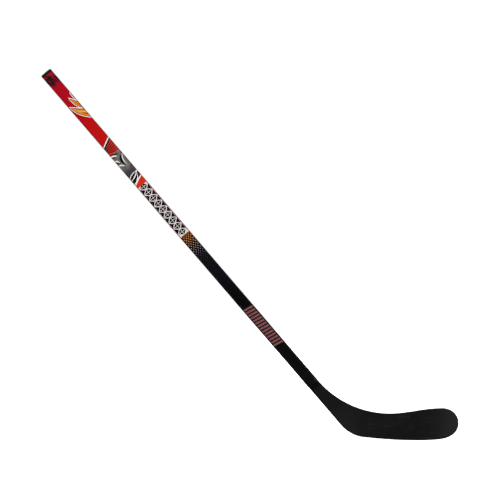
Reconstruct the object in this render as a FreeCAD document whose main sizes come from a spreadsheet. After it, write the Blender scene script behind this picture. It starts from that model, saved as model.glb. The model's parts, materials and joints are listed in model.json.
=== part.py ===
import FreeCAD, Part

# A youth ice hockey stick in its playing position: a hollow moulded shaft with a butt cap pressed and glued
# into its upper end, and a foam-cored, skinned blade whose tenon is glued into the shaft's lower end.
#
# Frame, in millimetres: the ice is the plane z = 0 and the blade touches it at the origin. +X points along
# the blade to its toe, +Z points up, and the blade curves towards -Y. The shaft leans back towards -X.

import math
import os

import Sketcher
from FreeCAD import Placement, Rotation, Vector

# alias, value, what it is
SIZES = (
    ("shaft_angle", 49.32, "angle between the shaft and the ice, in degrees"),
    ("heel_setback", 124, "from the ice contact back to where the shaft's axis meets the ice"),
    ("axis_length", 1100, "along the shaft's axis, from the ice to the top of the cap"),
    ("shaft_width", 26.6, "shaft section across its narrow sides"),
    ("shaft_thickness", 18.8, "shaft section across its wide faces"),
    ("shaft_corner", 4.5, "outer corner radius of the shaft section"),
    ("shaft_wall", 2.2, "laminate wall of the shaft"),
    ("joint_height", 185, "along the axis, from the ice to the shaft's lower end"),
    ("film_thickness", 0.25, "printed film moulded round the shaft"),
    ("label_thickness", 0.2, "foil label on each wide face, seated in the film"),
    ("label_length", 116, "foil label along the shaft"),
    ("label_gap", 85, "from the joint's wrap to the foil label"),
    ("cap_head_length", 7.5, "part of the cap that stands above the shaft"),
    ("cap_rounding", 2.0, "rounded rim of the cap's top"),
    ("spigot_length", 38, "part of the cap inside the shaft"),
    ("spigot_gap", 0.8, "between the spigot and the bore, filled by glue and ribs"),
    ("spigot_wall", 2.0, "wall of the hollow spigot"),
    ("spigot_corner", 1.0, "corner radius of the spigot's hollow"),
    ("rib_clearance", 0.1, "between the spigot's ribs and the bore"),
    ("rib_length", 2.0, "one rib along the shaft"),
    ("rib_pitch", 5.0, "from one rib to the next"),
    ("cap_glue_length", 14, "ring of glue round the spigot's lower end"),
    ("tenon_length", 55, "part of the blade inside the shaft"),
    ("tenon_gap", 0.3, "glue line between the tenon and the bore"),
    ("dam_length", 20, "foam plug above the tenon"),
    ("dam_clearance", 0.1, "between the foam plug and the bore"),
    ("wrap_above", 15, "laminated wrap on the shaft's side of the joint"),
    ("wrap_below", 15, "laminated wrap on the blade's side of the joint"),
    ("wrap_thickness", 0.35, "laminated wrap round the joint"),
    ("toe_reach", 94.3, "from the ice contact forward to the tip of the toe"),
    ("toe_height", 73.4, "highest point of the blade, behind the toe"),
    ("toe_crown", 59, "from the ice contact forward to that highest point"),
    ("tip_height", 40, "height of the foremost point of the toe"),
    ("toe_fullness", 0.58, "how square the toe's two corners are: 0.55 is round"),
    ("saddle_height", 60.4, "lowest point of the blade's top edge"),
    ("throat_gap", 3, "from the joint's wrap to the blend into the blade's top edge"),
    ("heel_radius", 80, "blend from the shaft's lower side into the sole"),
    ("heel_lift", 4.6, "rise of the rockered sole at the heel"),
    ("heel_distance", 95, "from the ice contact back to the heel"),
    ("toe_lift", 2.6, "rise of the rockered sole at the start of the toe"),
    ("toe_distance", 50, "from the ice contact forward to the start of the toe"),
    ("blade_heel_thickness", 9.0, "blade at the heel"),
    ("blade_toe_thickness", 5.6, "blade at the toe"),
    ("curve_setback", 70, "from the ice contact back to where the blade starts to curve"),
    ("curve_radius", 1300, "radius of the blade's curve"),
    ("edge_rounding", 1.0, "rounded rim of the blade"),
    ("blade_skin", 1.0, "laminate skin of the blade's faces"),
    ("edge_width", 4.0, "solid strip between the core and the blade's rim"),
    ("rib_width", 6.0, "bridge between the upper and the lower core"),
    ("core_split", 140, "from the ice contact back to where the hosel's core ends"),
)

RIB_COUNT = 3           # ribs on the cap's spigot
STATION_COUNT = 9       # points along each side of the blade's thickness curve
BEYOND = 40.0           # how far a cutting shape reaches past what it cuts

doc = FreeCAD.newDocument("hockey_stick")
sheet = doc.addObject("Spreadsheet::Sheet", "Sizes")
for row, (alias, value, meaning) in enumerate(SIZES, start=1):
    sheet.set(f"A{row}", alias)
    sheet.set(f"B{row}", str(value))
    sheet.set(f"C{row}", meaning)
    sheet.setAlias(f"B{row}", alias)
doc.recompute()

BORE_WIDTH = "Sizes.shaft_width - 2 * Sizes.shaft_wall"
BORE_THICKNESS = "Sizes.shaft_thickness - 2 * Sizes.shaft_wall"
BORE_CORNER = "Sizes.shaft_corner - Sizes.shaft_wall"
SHAFT_TOP = "Sizes.axis_length - Sizes.cap_head_length"
NECK_BOTTOM = "Sizes.joint_height - Sizes.wrap_below"
WRAP_TOP = "Sizes.joint_height + Sizes.wrap_above"
LABEL_BOTTOM = f"{WRAP_TOP} + Sizes.label_gap"


# ---------------------------------------------------------------------------------------------------------
# Pieces on the shaft: bodies whose own Z axis runs up the shaft and whose X axis points to its upper side
# ---------------------------------------------------------------------------------------------------------

def shaft_body(label):
    """An empty body placed on the shaft's axis, with its origin where that axis meets the ice."""
    body = doc.addObject("PartDesign::Body", label)
    body.Label = label
    body.Placement = Placement(Vector(), Rotation(Vector(0, -1, 0), 30))
    body.setExpression("Placement.Base.x", "-Sizes.heel_setback")
    body.setExpression("Placement.Rotation.Angle", "(90 - Sizes.shaft_angle) * 1deg")
    return body


def sketch_on(body, role, name, offset):
    """A sketch on one of the body's origin planes, moved along that plane's normal by an expression."""
    sketch = body.newObject("Sketcher::SketchObject", f"{body.Name}_{name}")
    plane = [feature for feature in body.Origin.OriginFeatures if feature.Role == role]
    sketch.AttachmentSupport = [(plane[0], "")]
    sketch.MapMode = "FlatFace"
    sketch.setExpression("AttachmentOffset.Base.z", offset)
    return sketch


def rounded_rectangle(sketch, width, thickness, corner):
    """Add a rounded rectangle about the sketch's origin, its three sizes bound to expressions."""
    half_w = sketch.evalExpression(width) / 2
    half_t = sketch.evalExpression(thickness) / 2
    radius = sketch.evalExpression(corner)
    flat_w = half_w - radius
    flat_t = half_t - radius
    first = sketch.GeometryCount
    sides = (
        (Vector(half_w, -flat_t, 0), Vector(half_w, flat_t, 0)),
        (Vector(flat_w, half_t, 0), Vector(-flat_w, half_t, 0)),
        (Vector(-half_w, flat_t, 0), Vector(-half_w, -flat_t, 0)),
        (Vector(-flat_w, -half_t, 0), Vector(flat_w, -half_t, 0)),
    )
    centres = (Vector(flat_w, flat_t, 0), Vector(-flat_w, flat_t, 0),
               Vector(-flat_w, -flat_t, 0), Vector(flat_w, -flat_t, 0))
    for quarter, (side, centre) in enumerate(zip(sides, centres)):
        sketch.addGeometry(Part.LineSegment(*side))
        circle = Part.Circle(centre, Vector(0, 0, 1), radius)
        sketch.addGeometry(Part.ArcOfCircle(circle, quarter * math.pi / 2, (quarter + 1) * math.pi / 2))
    for step in range(8):
        sketch.addConstraint(Sketcher.Constraint("Tangent", first + step, 2, first + (step + 1) % 8, 1))
    for arc in (3, 5, 7):
        sketch.addConstraint(Sketcher.Constraint("Equal", first + 1, first + arc))
    for side in (0, 4):
        sketch.addConstraint(Sketcher.Constraint("Vertical", first + side))
    for side in (2, 6):
        sketch.addConstraint(Sketcher.Constraint("Horizontal", first + side))
    sketch.addConstraint(Sketcher.Constraint("Symmetric", first, 1, first + 4, 1, -1, 1))
    bound = (
        (Sketcher.Constraint("DistanceX", first + 4, 1, first, 2, 2 * half_w), width),
        (Sketcher.Constraint("DistanceY", first + 6, 1, first + 2, 1, 2 * half_t), thickness),
        (Sketcher.Constraint("Radius", first + 1, radius), corner),
    )
    for constraint, expression in bound:
        index = sketch.addConstraint(constraint)
        sketch.setExpression(f"Constraints[{index}]", expression)


def grown(expression, by):
    """A section's size expression with the same amount added on both sides."""
    return f"{expression} + 2 * ({by})"


def pad_section(body, name, start, length, sections):
    """Pad one or two rounded rectangles, the second one a hole in the first, from start along the axis."""
    sketch = sketch_on(body, "XY_Plane", name, start)
    for section in sections:
        rounded_rectangle(sketch, *section)
    pad = body.newObject("PartDesign::Pad", f"{body.Name}_{name}_pad")
    pad.Profile = sketch
    pad.setExpression("Length", length)
    return pad


SHAFT_OUTSIDE = ("Sizes.shaft_width", "Sizes.shaft_thickness", "Sizes.shaft_corner")
BORE = (BORE_WIDTH, BORE_THICKNESS, BORE_CORNER)


def section_inside_bore(gap):
    """The bore's section, smaller by a gap all round."""
    return (grown(BORE_WIDTH, f"-{gap}"), grown(BORE_THICKNESS, f"-{gap}"), f"{BORE_CORNER} - {gap}")


def section_round_shaft(layer):
    """The shaft's section, larger by a layer all round."""
    return (grown("Sizes.shaft_width", layer), grown("Sizes.shaft_thickness", layer),
            f"Sizes.shaft_corner + {layer}")


def make_shaft_tube():
    """Hollow laminate tube from the joint to the cap."""
    body = shaft_body("shaft_tube")
    pad_section(body, "section", "Sizes.joint_height", f"{SHAFT_TOP} - Sizes.joint_height",
                (SHAFT_OUTSIDE, BORE))


def label_sketch(body, side):
    """The foil label's rectangle on a plane at the label's -Y face or, for the other side, at its +Y face."""
    # the sketch's normal is the body's -Y, so a front label starts at its inner face, a back one at its outer
    outer_face = "(Sizes.shaft_thickness / 2 + Sizes.film_thickness)"
    offset = f"{outer_face} - Sizes.label_thickness" if side == "front" else f"-{outer_face}"
    sketch = sketch_on(body, "XZ_Plane", f"label_{side}", offset)
    half = sketch.evalExpression("Sizes.shaft_width / 2 - Sizes.shaft_corner")
    low = sketch.evalExpression(LABEL_BOTTOM)
    high = low + sketch.evalExpression("Sizes.label_length")
    corners = (Vector(-half, low, 0), Vector(half, low, 0), Vector(half, high, 0), Vector(-half, high, 0))
    for index in range(4):
        sketch.addGeometry(Part.LineSegment(corners[index], corners[(index + 1) % 4]))
    for index in range(4):
        sketch.addConstraint(Sketcher.Constraint("Coincident", index, 2, (index + 1) % 4, 1))
    for index, kind in ((1, "Vertical"), (2, "Horizontal"), (3, "Vertical")):
        sketch.addConstraint(Sketcher.Constraint(kind, index))
    sketch.addConstraint(Sketcher.Constraint("Symmetric", 0, 1, 0, 2, -2))
    width = "Sizes.shaft_width - 2 * Sizes.shaft_corner"
    bound = (
        (Sketcher.Constraint("DistanceX", 0, 1, 0, 2, 2 * half), width),
        (Sketcher.Constraint("DistanceY", -1, 1, 0, 1, low), LABEL_BOTTOM),
        (Sketcher.Constraint("DistanceY", 1, 1, 1, 2, high - low), "Sizes.label_length"),
    )
    for constraint, expression in bound:
        place = sketch.addConstraint(constraint)
        sketch.setExpression(f"Constraints[{place}]", expression)
    return sketch


def cut_along_normal(body, sketch, name, length):
    """Pocket a sketch in the direction of its normal, and stop if nothing was cut."""
    doc.recompute()
    before = body.Shape.Volume
    pocket = body.newObject("PartDesign::Pocket", f"{body.Name}_{name}_pocket")
    pocket.Profile = sketch
    pocket.Reversed = True
    pocket.setExpression("Length", length)
    doc.recompute()
    if body.Shape.Volume >= before:
        raise RuntimeError(f"{pocket.Name} cuts nothing")
    return pocket


def make_print_film():
    """Printed film from the joint's wrap to the cap, with a shallow seat for each foil label."""
    body = shaft_body("shaft_print_film")
    pad_section(body, "section", WRAP_TOP, f"{SHAFT_TOP} - ({WRAP_TOP})",
                (section_round_shaft("Sizes.film_thickness"), SHAFT_OUTSIDE))
    for side in ("front", "back"):
        cut_along_normal(body, label_sketch(body, side), f"label_{side}", "Sizes.label_thickness")


def make_foil_labels():
    """A foil label on the flat of each wide face, flush with the printed film."""
    for side in ("front", "back"):
        body = shaft_body(f"foil_label_{side}")
        pad = body.newObject("PartDesign::Pad", f"foil_label_{side}_pad")
        pad.Profile = label_sketch(body, side)
        pad.setExpression("Length", "Sizes.label_thickness")


def make_butt_cap():
    """Moulded end cap: a head with a rounded rim, and a hollow spigot with ribs that grip the bore."""
    body = shaft_body("butt_cap")
    pad_section(body, "head", SHAFT_TOP, "Sizes.cap_head_length",
                (section_round_shaft("Sizes.film_thickness"),))
    spigot_foot = f"{SHAFT_TOP} - Sizes.spigot_length"
    pad_section(body, "spigot", spigot_foot, "Sizes.spigot_length",
                (section_inside_bore("Sizes.spigot_gap"),))
    for rib in range(RIB_COUNT):
        start = f"{SHAFT_TOP} - {rib + 1} * Sizes.rib_pitch"
        pad_section(body, f"rib{rib + 1}", start, "Sizes.rib_length",
                    (section_inside_bore("Sizes.rib_clearance"),))
    sketch = sketch_on(body, "XY_Plane", "hollow", spigot_foot)
    hollow_width, hollow_thickness, _ = section_inside_bore("(Sizes.spigot_gap + Sizes.spigot_wall)")
    rounded_rectangle(sketch, hollow_width, hollow_thickness, "Sizes.spigot_corner")
    pocket = cut_along_normal(body, sketch, "hollow", "Sizes.spigot_length")
    top = sheet.axis_length - 1e-3
    rim = [f"Edge{index}" for index, edge in enumerate(pocket.Shape.Edges, start=1)
           if edge.BoundBox.ZMin > top]
    fillet = body.newObject("PartDesign::Fillet", "butt_cap_rim")
    fillet.Base = (pocket, rim)
    fillet.setExpression("Radius", "Sizes.cap_rounding")


def make_cap_glue():
    """Ring of glue between the spigot's lower end and the bore."""
    body = shaft_body("cap_adhesive")
    pad_section(body, "section", f"{SHAFT_TOP} - Sizes.spigot_length", "Sizes.cap_glue_length",
                (BORE, section_inside_bore("Sizes.spigot_gap")))


def make_blade_tenon():
    """The blade's tenon, which fills the shaft's lower end."""
    body = shaft_body("blade_tenon")
    pad_section(body, "section", "Sizes.joint_height", "Sizes.tenon_length",
                (section_inside_bore("Sizes.tenon_gap"),))


def make_tenon_glue():
    """Glue line between the tenon and the bore."""
    body = shaft_body("tenon_adhesive")
    pad_section(body, "section", "Sizes.joint_height", "Sizes.tenon_length",
                (BORE, section_inside_bore("Sizes.tenon_gap")))


def make_foam_dam():
    """Foam plug that keeps the glue at the tenon."""
    body = shaft_body("foam_dam")
    pad_section(body, "section", "Sizes.joint_height + Sizes.tenon_length", "Sizes.dam_length",
                (section_inside_bore("Sizes.dam_clearance"),))


def make_joint_wrap():
    """Laminated wrap that bridges the joint between the shaft and the blade."""
    body = shaft_body("joint_wrap")
    pad_section(body, "section", NECK_BOTTOM, "Sizes.wrap_below + Sizes.wrap_above",
                (section_round_shaft("Sizes.wrap_thickness"), SHAFT_OUTSIDE))


# ---------------------------------------------------------------------------------------------------------
# The blade: one outer shape, cut into skins, edge strips, cores and the bridge between them
# ---------------------------------------------------------------------------------------------------------

LEAN = math.radians(sheet.shaft_angle)
UP_SHAFT = Vector(-math.cos(LEAN), 0, math.sin(LEAN))
UPPER_SIDE = Vector(math.sin(LEAN), 0, math.cos(LEAN))
ALONG = Vector(1, 0, 0)


def on_shaft(height, across):
    """The point at this height along the shaft's axis and this far from it towards its upper side."""
    return Vector(-sheet.heel_setback, 0, 0) + UP_SHAFT * height + UPPER_SIDE * across


def crossing(point_a, direction_a, point_b, direction_b):
    """Where two lines in the XZ plane cross."""
    gap = point_b - point_a
    span = direction_a.x * direction_b.z - direction_a.z * direction_b.x
    return point_a + direction_a * ((gap.x * direction_b.z - gap.z * direction_b.x) / span)


def blend(corner, first, second, radius):
    """Start, middle and end of the arc that rounds a corner between two directions leading away from it."""
    half = first.getAngle(second) / 2
    reach = radius / math.tan(half)
    middle = (first + second).normalize() * (radius / math.sin(half) - radius)
    return corner + first * reach, corner + middle, corner + second * reach


def spline(points, start_tangent, end_tangent):
    """A smooth edge through points, with its direction given at both ends."""
    curve = Part.BSplineCurve()
    curve.interpolate(points, InitialTangent=start_tangent, FinalTangent=end_tangent)
    return curve.toShape()


def bezier(*poles):
    """A smooth edge that leaves its first pole and reaches its last one along the poles beside them."""
    curve = Part.BezierCurve()
    curve.setPoles(list(poles))
    return curve.toShape()


def face_of(edges):
    """A flat face bounded by edges given in any order."""
    return Part.Face(Part.Wire(Part.sortEdges(edges)[0]))


def polygon(points):
    """A flat face with straight sides."""
    return Part.Face(Part.makePolygon(points + points[:1]))


def neck_bottom():
    """Height on the shaft below which the hosel starts to change its section."""
    return sheet.joint_height - sheet.wrap_below


def blade_outline(top):
    """The blade's side view up to this height on the shaft, as a face in the XZ plane."""
    upper_side = on_shaft(top, sheet.shaft_width / 2)
    lower_side = on_shaft(top, -sheet.shaft_width / 2)
    saddle_line = Vector(0, 0, sheet.saddle_height)
    throat_corner = crossing(upper_side, UP_SHAFT, saddle_line, ALONG)
    throat_start = on_shaft(neck_bottom() - sheet.throat_gap, sheet.shaft_width / 2)
    throat_reach = throat_start.distanceToPoint(throat_corner)
    throat_radius = throat_reach * math.tan(UP_SHAFT.getAngle(ALONG) / 2)
    throat = blend(throat_corner, UP_SHAFT, ALONG, throat_radius)
    crown = Vector(sheet.toe_crown, 0, sheet.toe_height)
    sole_front = Vector(sheet.toe_distance, 0, sheet.toe_lift)
    front_slope = Vector(sheet.toe_distance, 0, 2 * sheet.toe_lift).normalize()
    heel_slope = Vector(sheet.heel_distance, 0, -2 * sheet.heel_lift).normalize()
    sole_back = Vector(-sheet.heel_distance, 0, sheet.heel_lift)
    heel_corner = crossing(lower_side, UP_SHAFT, sole_back, heel_slope)
    heel = blend(heel_corner, UP_SHAFT, heel_slope, sheet.heel_radius)
    tip = Vector(sheet.toe_reach, 0, sheet.tip_height)
    upper_handle = Vector(0, 0, sheet.toe_fullness * (sheet.toe_height - sheet.tip_height))
    lower_handle = Vector(0, 0, sheet.toe_fullness * (sheet.tip_height - sheet.toe_lift))
    crown_handle = ALONG * (sheet.toe_fullness * (sheet.toe_reach - sheet.toe_crown))
    sole_handle = front_slope * (sheet.toe_fullness * (sheet.toe_reach - sheet.toe_distance))
    top_handle = ALONG * ((crown.x - throat[2].x) / 3)
    edges = [
        Part.LineSegment(upper_side, throat[0]).toShape(),
        Part.Arc(*throat).toShape(),
        bezier(throat[2], throat[2] + top_handle, crown - top_handle, crown),
        bezier(crown, crown + crown_handle, tip + upper_handle, tip),
        bezier(tip, tip - lower_handle, sole_front + sole_handle, sole_front),
        bezier(sole_front, Vector(sheet.toe_distance / 2, 0, 0), Vector()),
        bezier(Vector(), Vector(-sheet.heel_distance / 2, 0, 0), sole_back),
        Part.LineSegment(sole_back, heel[2]).toShape(),
        Part.Arc(*heel).toShape(),
        Part.LineSegment(heel[0], lower_side).toShape(),
        Part.LineSegment(lower_side, upper_side).toShape(),
    ]
    return face_of(edges)


def middle_line(x):
    """The blade's middle surface seen from above: straight, then an arc towards -Y."""
    run = max(0.0, x + sheet.curve_setback)
    return math.sqrt(sheet.curve_radius ** 2 - run ** 2) - sheet.curve_radius


def half_thickness(x, start):
    """Half of the blade's thickness: the shaft's at the hosel, easing into a paddle that thins to the toe."""
    heel, toe = sheet.blade_heel_thickness / 2, sheet.blade_toe_thickness / 2
    forward = (x + sheet.heel_distance) / (sheet.toe_reach + sheet.heel_distance)
    paddle = heel + (toe - heel) * max(0.0, forward)
    passed = min(1.0, (x - start) / (-sheet.heel_distance - start))
    hosel_share = (1 - passed) ** 2 * (1 + 2 * passed)
    return paddle + (sheet.shaft_thickness / 2 - paddle) * hosel_share


def skin_thickness(x, start):
    """Thickness of the laminate skin, which carries on from the shaft's wall and thins towards the heel."""
    passed = min(1.0, (x - start) / (-sheet.heel_distance - start))
    return sheet.shaft_wall + (sheet.blade_skin - sheet.shaft_wall) * passed


def layer(skinned):
    """The blade's thickness as a tall prism, whole or without its two skins."""
    start = on_shaft(neck_bottom(), sheet.shaft_width / 2).x
    end = sheet.toe_reach + BEYOND
    back = on_shaft(sheet.joint_height, -sheet.shaft_width / 2).x - 2 * BEYOND
    stations = [start + (end - start) * index / STATION_COUNT for index in range(STATION_COUNT + 1)]
    final_slope = Vector(1, (middle_line(end) - middle_line(end - 1)), 0)
    edges = []
    corners = {}
    for side in (-1, 1):
        points = []
        for x in stations:
            half = half_thickness(x, start)
            if skinned:
                half -= skin_thickness(x, start)
            points.append(Vector(x, middle_line(x) + side * half, 0))
        far = Vector(back, points[0].y, 0)
        edges += [spline(points, ALONG, final_slope), Part.LineSegment(far, points[0]).toShape()]
        corners[side] = (far, points[-1])
    for end_index in (0, 1):
        edges.append(Part.LineSegment(corners[-1][end_index], corners[1][end_index]).toShape())
    face = face_of(edges)
    face.translate(Vector(0, 0, -BEYOND))
    return face.extrude(Vector(0, 0, sheet.joint_height + 4 * BEYOND))


def across(face):
    """A face in the XZ plane as a prism that reaches past both of the blade's faces."""
    face = face.copy()
    reach = sheet.shaft_thickness + 2 * BEYOND
    face.translate(Vector(0, -reach, 0))
    return face.extrude(Vector(0, 2 * reach, 0))


def single_solid(shape, name):
    """The one solid of a shape, so that a piece that fell apart is noticed."""
    if len(shape.Solids) != 1:
        raise RuntimeError(f"{name} has {len(shape.Solids)} solids")
    return shape.Solids[0]


def blade_outside():
    """The whole blade with its rounded rim, and with the shaft's own section as its neck."""
    low, high = neck_bottom(), sheet.joint_height
    side = sheet.shaft_width
    plate = single_solid(across(blade_outline(high)).common(layer(skinned=False)), "blade plate")
    neck_zone = across(polygon([on_shaft(low, -side), on_shaft(low, side),
                                on_shaft(high + BEYOND, side), on_shaft(high + BEYOND, -side)]))
    plate = single_solid(plate.cut(neck_zone), "blade below the neck")
    rim = []
    for edge in plate.Edges:
        first, last = edge.Vertexes[0].Point, edge.Vertexes[-1].Point
        crosswise = abs(first.x - last.x) < 1e-6 and abs(first.z - last.z) < 1e-6
        at_neck = all(abs((point - on_shaft(low, 0)).dot(UP_SHAFT)) < 1e-6 for point in (first, last))
        if not crosswise and not at_neck:
            rim.append(edge)
    plate = single_solid(plate.makeFillet(sheet.edge_rounding, rim), "rounded blade")
    return plate.fuse(neck_solid()).removeSplitter()


def neck_solid():
    """The hosel's neck: the shaft's section from the wrap's lower end to the joint."""
    half_w, half_t = sheet.shaft_width / 2, sheet.shaft_thickness / 2
    box = Part.makeBox(sheet.shaft_width, sheet.shaft_thickness, sheet.wrap_below,
                       Vector(-half_w, -half_t, neck_bottom()))
    upright = [edge for edge in box.Edges if edge.BoundBox.ZLength > 1e-3]
    neck = box.makeFillet(sheet.shaft_corner, upright)
    neck.Placement = doc.getObject("shaft_tube").Placement
    return neck


def add_piece(label, shape):
    """Keep a finished solid as a named piece."""
    piece = doc.addObject("Part::Feature", label)
    piece.Label = label
    piece.Shape = single_solid(shape, label)
    piece.Placement = Placement()


def make_blade():
    """Cut the blade's outer shape into its skins, edge strips, cores and bridge."""
    outside = blade_outside()
    inside = layer(skinned=True)
    skins = sorted(outside.cut(inside).Solids, key=lambda solid: solid.CenterOfMass.y)
    middle = outside.common(inside)

    reach = sheet.toe_reach + BEYOND
    ceiling = sheet.joint_height + BEYOND
    core_outline = blade_outline(sheet.joint_height + 3 * sheet.edge_width).makeOffset2D(-sheet.edge_width)
    core_zone = across(core_outline.toNurbs())
    centre_height = sheet.tip_height
    elbow = crossing(on_shaft(0, 0), UP_SHAFT, Vector(0, 0, centre_height), ALONG)
    shaft_far = on_shaft(sheet.joint_height + BEYOND, 0)
    tip = Vector(reach, 0, centre_height)
    lift = Vector(0, 0, sheet.rib_width / 2)
    bridge = across(polygon([elbow + lift, tip + lift, tip - lift, elbow - lift]))
    upper_half = across(polygon([shaft_far, elbow, tip, Vector(reach, 0, ceiling),
                                 Vector(shaft_far.x, 0, ceiling)]))
    behind = shaft_far.x - BEYOND
    hosel_zone = across(polygon([Vector(-sheet.core_split, 0, -BEYOND), Vector(-sheet.core_split, 0, ceiling),
                                 Vector(behind, 0, ceiling), Vector(behind, 0, -BEYOND)]))

    edge_strip = middle.cut(core_zone)
    core = middle.common(core_zone)
    blade_core = core.cut(hosel_zone)
    halves = blade_core.cut(bridge)
    add_piece("blade_face_front", skins[0])
    add_piece("blade_face_back", skins[-1])
    add_piece("top_edge_strip", edge_strip.common(upper_half))
    add_piece("sole_edge_strip", edge_strip.cut(upper_half))
    add_piece("hosel_core", core.common(hosel_zone))
    add_piece("blade_core_upper", halves.common(upper_half))
    add_piece("blade_core_lower", halves.cut(upper_half))
    add_piece("blade_bridge_rib", blade_core.common(bridge))


# ---------------------------------------------------------------------------------------------------------
# Build, check and export
# ---------------------------------------------------------------------------------------------------------

make_shaft_tube()
make_print_film()
make_foil_labels()
make_butt_cap()
make_cap_glue()
make_foam_dam()
make_blade_tenon()
make_tenon_glue()
make_joint_wrap()
doc.recompute()
make_blade()
doc.recompute()

pieces = [item for item in doc.Objects if item.TypeId in ("PartDesign::Body", "Part::Feature")]
for item in doc.Objects:
    if "Invalid" in item.State or "Error" in item.State:
        raise RuntimeError(f"{item.Label} did not compute: {item.State}")
for piece in pieces:
    if piece.Shape.isNull() or not piece.Shape.isValid():
        raise RuntimeError(f"{piece.Label} has no valid shape")

os.makedirs("parts", exist_ok=True)
for piece in pieces:
    piece.Shape.exportStep(os.path.join("parts", f"{piece.Label}.step"))
    print(f"{piece.Label:20s} {piece.Shape.Volume / 1000:9.3f} cm3, {len(piece.Shape.Faces)} faces")
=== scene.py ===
# %% [markdown]
# # A youth ice hockey stick
# A hockey stick is a long hollow shaft with a printed film moulded round it, a black butt cap in its upper
# end and a curved, skinned blade glued into its lower end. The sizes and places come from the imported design,
# and this lesson adds what the eye sees: the print, the edges, the grain and the light.

# %% Load the frame
import json
import math
import random

import bmesh
import bpy
from mathutils import Matrix, Vector
from mathutils.geometry import delaunay_2d_cdt
from mathutils.kdtree import KDTree


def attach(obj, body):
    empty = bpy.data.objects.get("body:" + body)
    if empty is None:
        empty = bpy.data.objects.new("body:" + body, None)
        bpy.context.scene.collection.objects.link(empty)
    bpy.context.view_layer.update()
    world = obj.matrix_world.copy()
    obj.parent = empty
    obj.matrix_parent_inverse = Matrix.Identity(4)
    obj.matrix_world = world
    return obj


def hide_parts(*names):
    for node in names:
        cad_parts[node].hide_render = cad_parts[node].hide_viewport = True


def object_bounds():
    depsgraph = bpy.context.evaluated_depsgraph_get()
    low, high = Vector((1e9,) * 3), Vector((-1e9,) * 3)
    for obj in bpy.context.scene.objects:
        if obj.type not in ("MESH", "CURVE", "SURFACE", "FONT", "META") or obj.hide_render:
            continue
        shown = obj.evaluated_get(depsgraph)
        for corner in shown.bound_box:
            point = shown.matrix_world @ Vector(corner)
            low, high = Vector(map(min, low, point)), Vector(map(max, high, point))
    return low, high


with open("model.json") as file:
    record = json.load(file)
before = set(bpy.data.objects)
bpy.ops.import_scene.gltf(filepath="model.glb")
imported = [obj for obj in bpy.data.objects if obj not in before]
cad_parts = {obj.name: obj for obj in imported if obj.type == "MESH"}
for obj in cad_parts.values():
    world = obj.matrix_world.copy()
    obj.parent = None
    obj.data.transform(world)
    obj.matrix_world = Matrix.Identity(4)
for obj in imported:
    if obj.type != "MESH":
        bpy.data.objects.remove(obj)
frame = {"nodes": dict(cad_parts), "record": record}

MM = 0.001
cad_low, cad_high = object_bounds()
print("design box, mm:", [round(c / MM) for c in cad_high - cad_low])

# %% [markdown]
# The shaft leans, so it gets a frame of its own: the origin at the butt end's top, Z up the shaft, X across
# to its upper side and Y away from the forehand. A piece made in that frame is a plain upright piece, and one
# matrix leans it. The mounts in the record give the directions, and pairs of them give the section.

# %% The shaft's frame
mounts = {mount["name"]: mount for mount in frame["record"]["mounts"]}


def mount_place(name):
    return Vector(mounts[name]["pos_m"])


butt = mount_place("butt_end_face")
up = Vector(mounts["butt_end_face"]["axis"]).normalized()
upper_side = Vector(mounts["shaft_upper_side"]["axis"]).normalized()
away = Vector((0, 1, 0))
shaft_frame = Matrix((upper_side, away, up)).transposed().to_4x4()
shaft_frame.translation = butt
film_width = (mount_place("shaft_upper_side") - mount_place("shaft_lower_side")).length
film_depth = (mount_place("shaft_back_face") - mount_place("shaft_front_face")).length
print(f"shaft section {film_width / MM:.1f} x {film_depth / MM:.1f} mm, "
      f"{math.degrees(math.asin(up.z)):.1f} degrees to the ice")


# %% Places along the shaft
def along_shaft(node):
    """How far below the butt end a piece of the design starts and ends, measured along the shaft."""
    depths = [(butt - vertex.co).dot(up) for vertex in frame["nodes"][node].data.vertices]
    return min(depths), max(depths)


film_top, film_bottom = along_shaft("shaft_print_film")
wrap_top, wrap_bottom = along_shaft("joint_wrap")
label_top, label_bottom = along_shaft("foil_label_front")
joint = along_shaft("shaft_tube")[1]
print(f"film {film_top / MM:.1f} to {film_bottom / MM:.1f} mm, label {label_top / MM:.1f} to "
      f"{label_bottom / MM:.1f} mm, joint at {joint / MM:.1f} mm")

# %% [markdown]
# ## Camera, floor and light
# The stick is seen square on to its wide face from far away, so a long lens is used. The floor and the world
# are nearly white to the camera only: a glossy black stick would otherwise mirror them and look grey.

# %% Camera
LENS = 100
SENSOR = 36
VIEW_SHARE = 1.201
AIM_RISE = 10.5 * MM
AIM_SIDE = 0.5 * MM
view_width = (cad_high.x - cad_low.x) * VIEW_SHARE
camera_data = bpy.data.cameras.new("camera")
camera_data.lens = LENS
camera_data.sensor_width = SENSOR
camera = bpy.data.objects.new("camera", camera_data)
aim = (cad_low + cad_high) / 2 + Vector((AIM_SIDE, 0, AIM_RISE))
camera.location = aim - away * (view_width * LENS / SENSOR)
camera.rotation_euler = (math.radians(90), 0, 0)
bpy.context.scene.collection.objects.link(camera)
bpy.context.scene.camera = camera
print(f"camera {-camera.location.y:.2f} m in front, picture {view_width:.3f} m wide")


# %% [markdown]
# A finish in Blender is a tree of nodes, and every tree below uses the same few: maths, noise, colour ramps
# and mixes. They could be placed by hand, but short functions keep each finish as short as its recipe.
# Colours are given as the eye reads them and turned into linear light, which is what the nodes work in.

# %% Short words for wiring nodes
def add_node(tree, kind, **settings):
    node = tree.nodes.new(kind)
    for name, value in settings.items():
        setattr(node, name, value)
    return node


def feed(tree, socket, value):
    """Give a socket a number or colour, or link another socket to it."""
    if isinstance(value, bpy.types.NodeSocket):
        tree.links.new(value, socket)
    else:
        socket.default_value = value


def maths(tree, operation, *values, clamp=False):
    node = add_node(tree, "ShaderNodeMath", operation=operation, use_clamp=clamp)
    for socket, value in zip(node.inputs, values):
        feed(tree, socket, value)
    return node.outputs[0]


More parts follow.
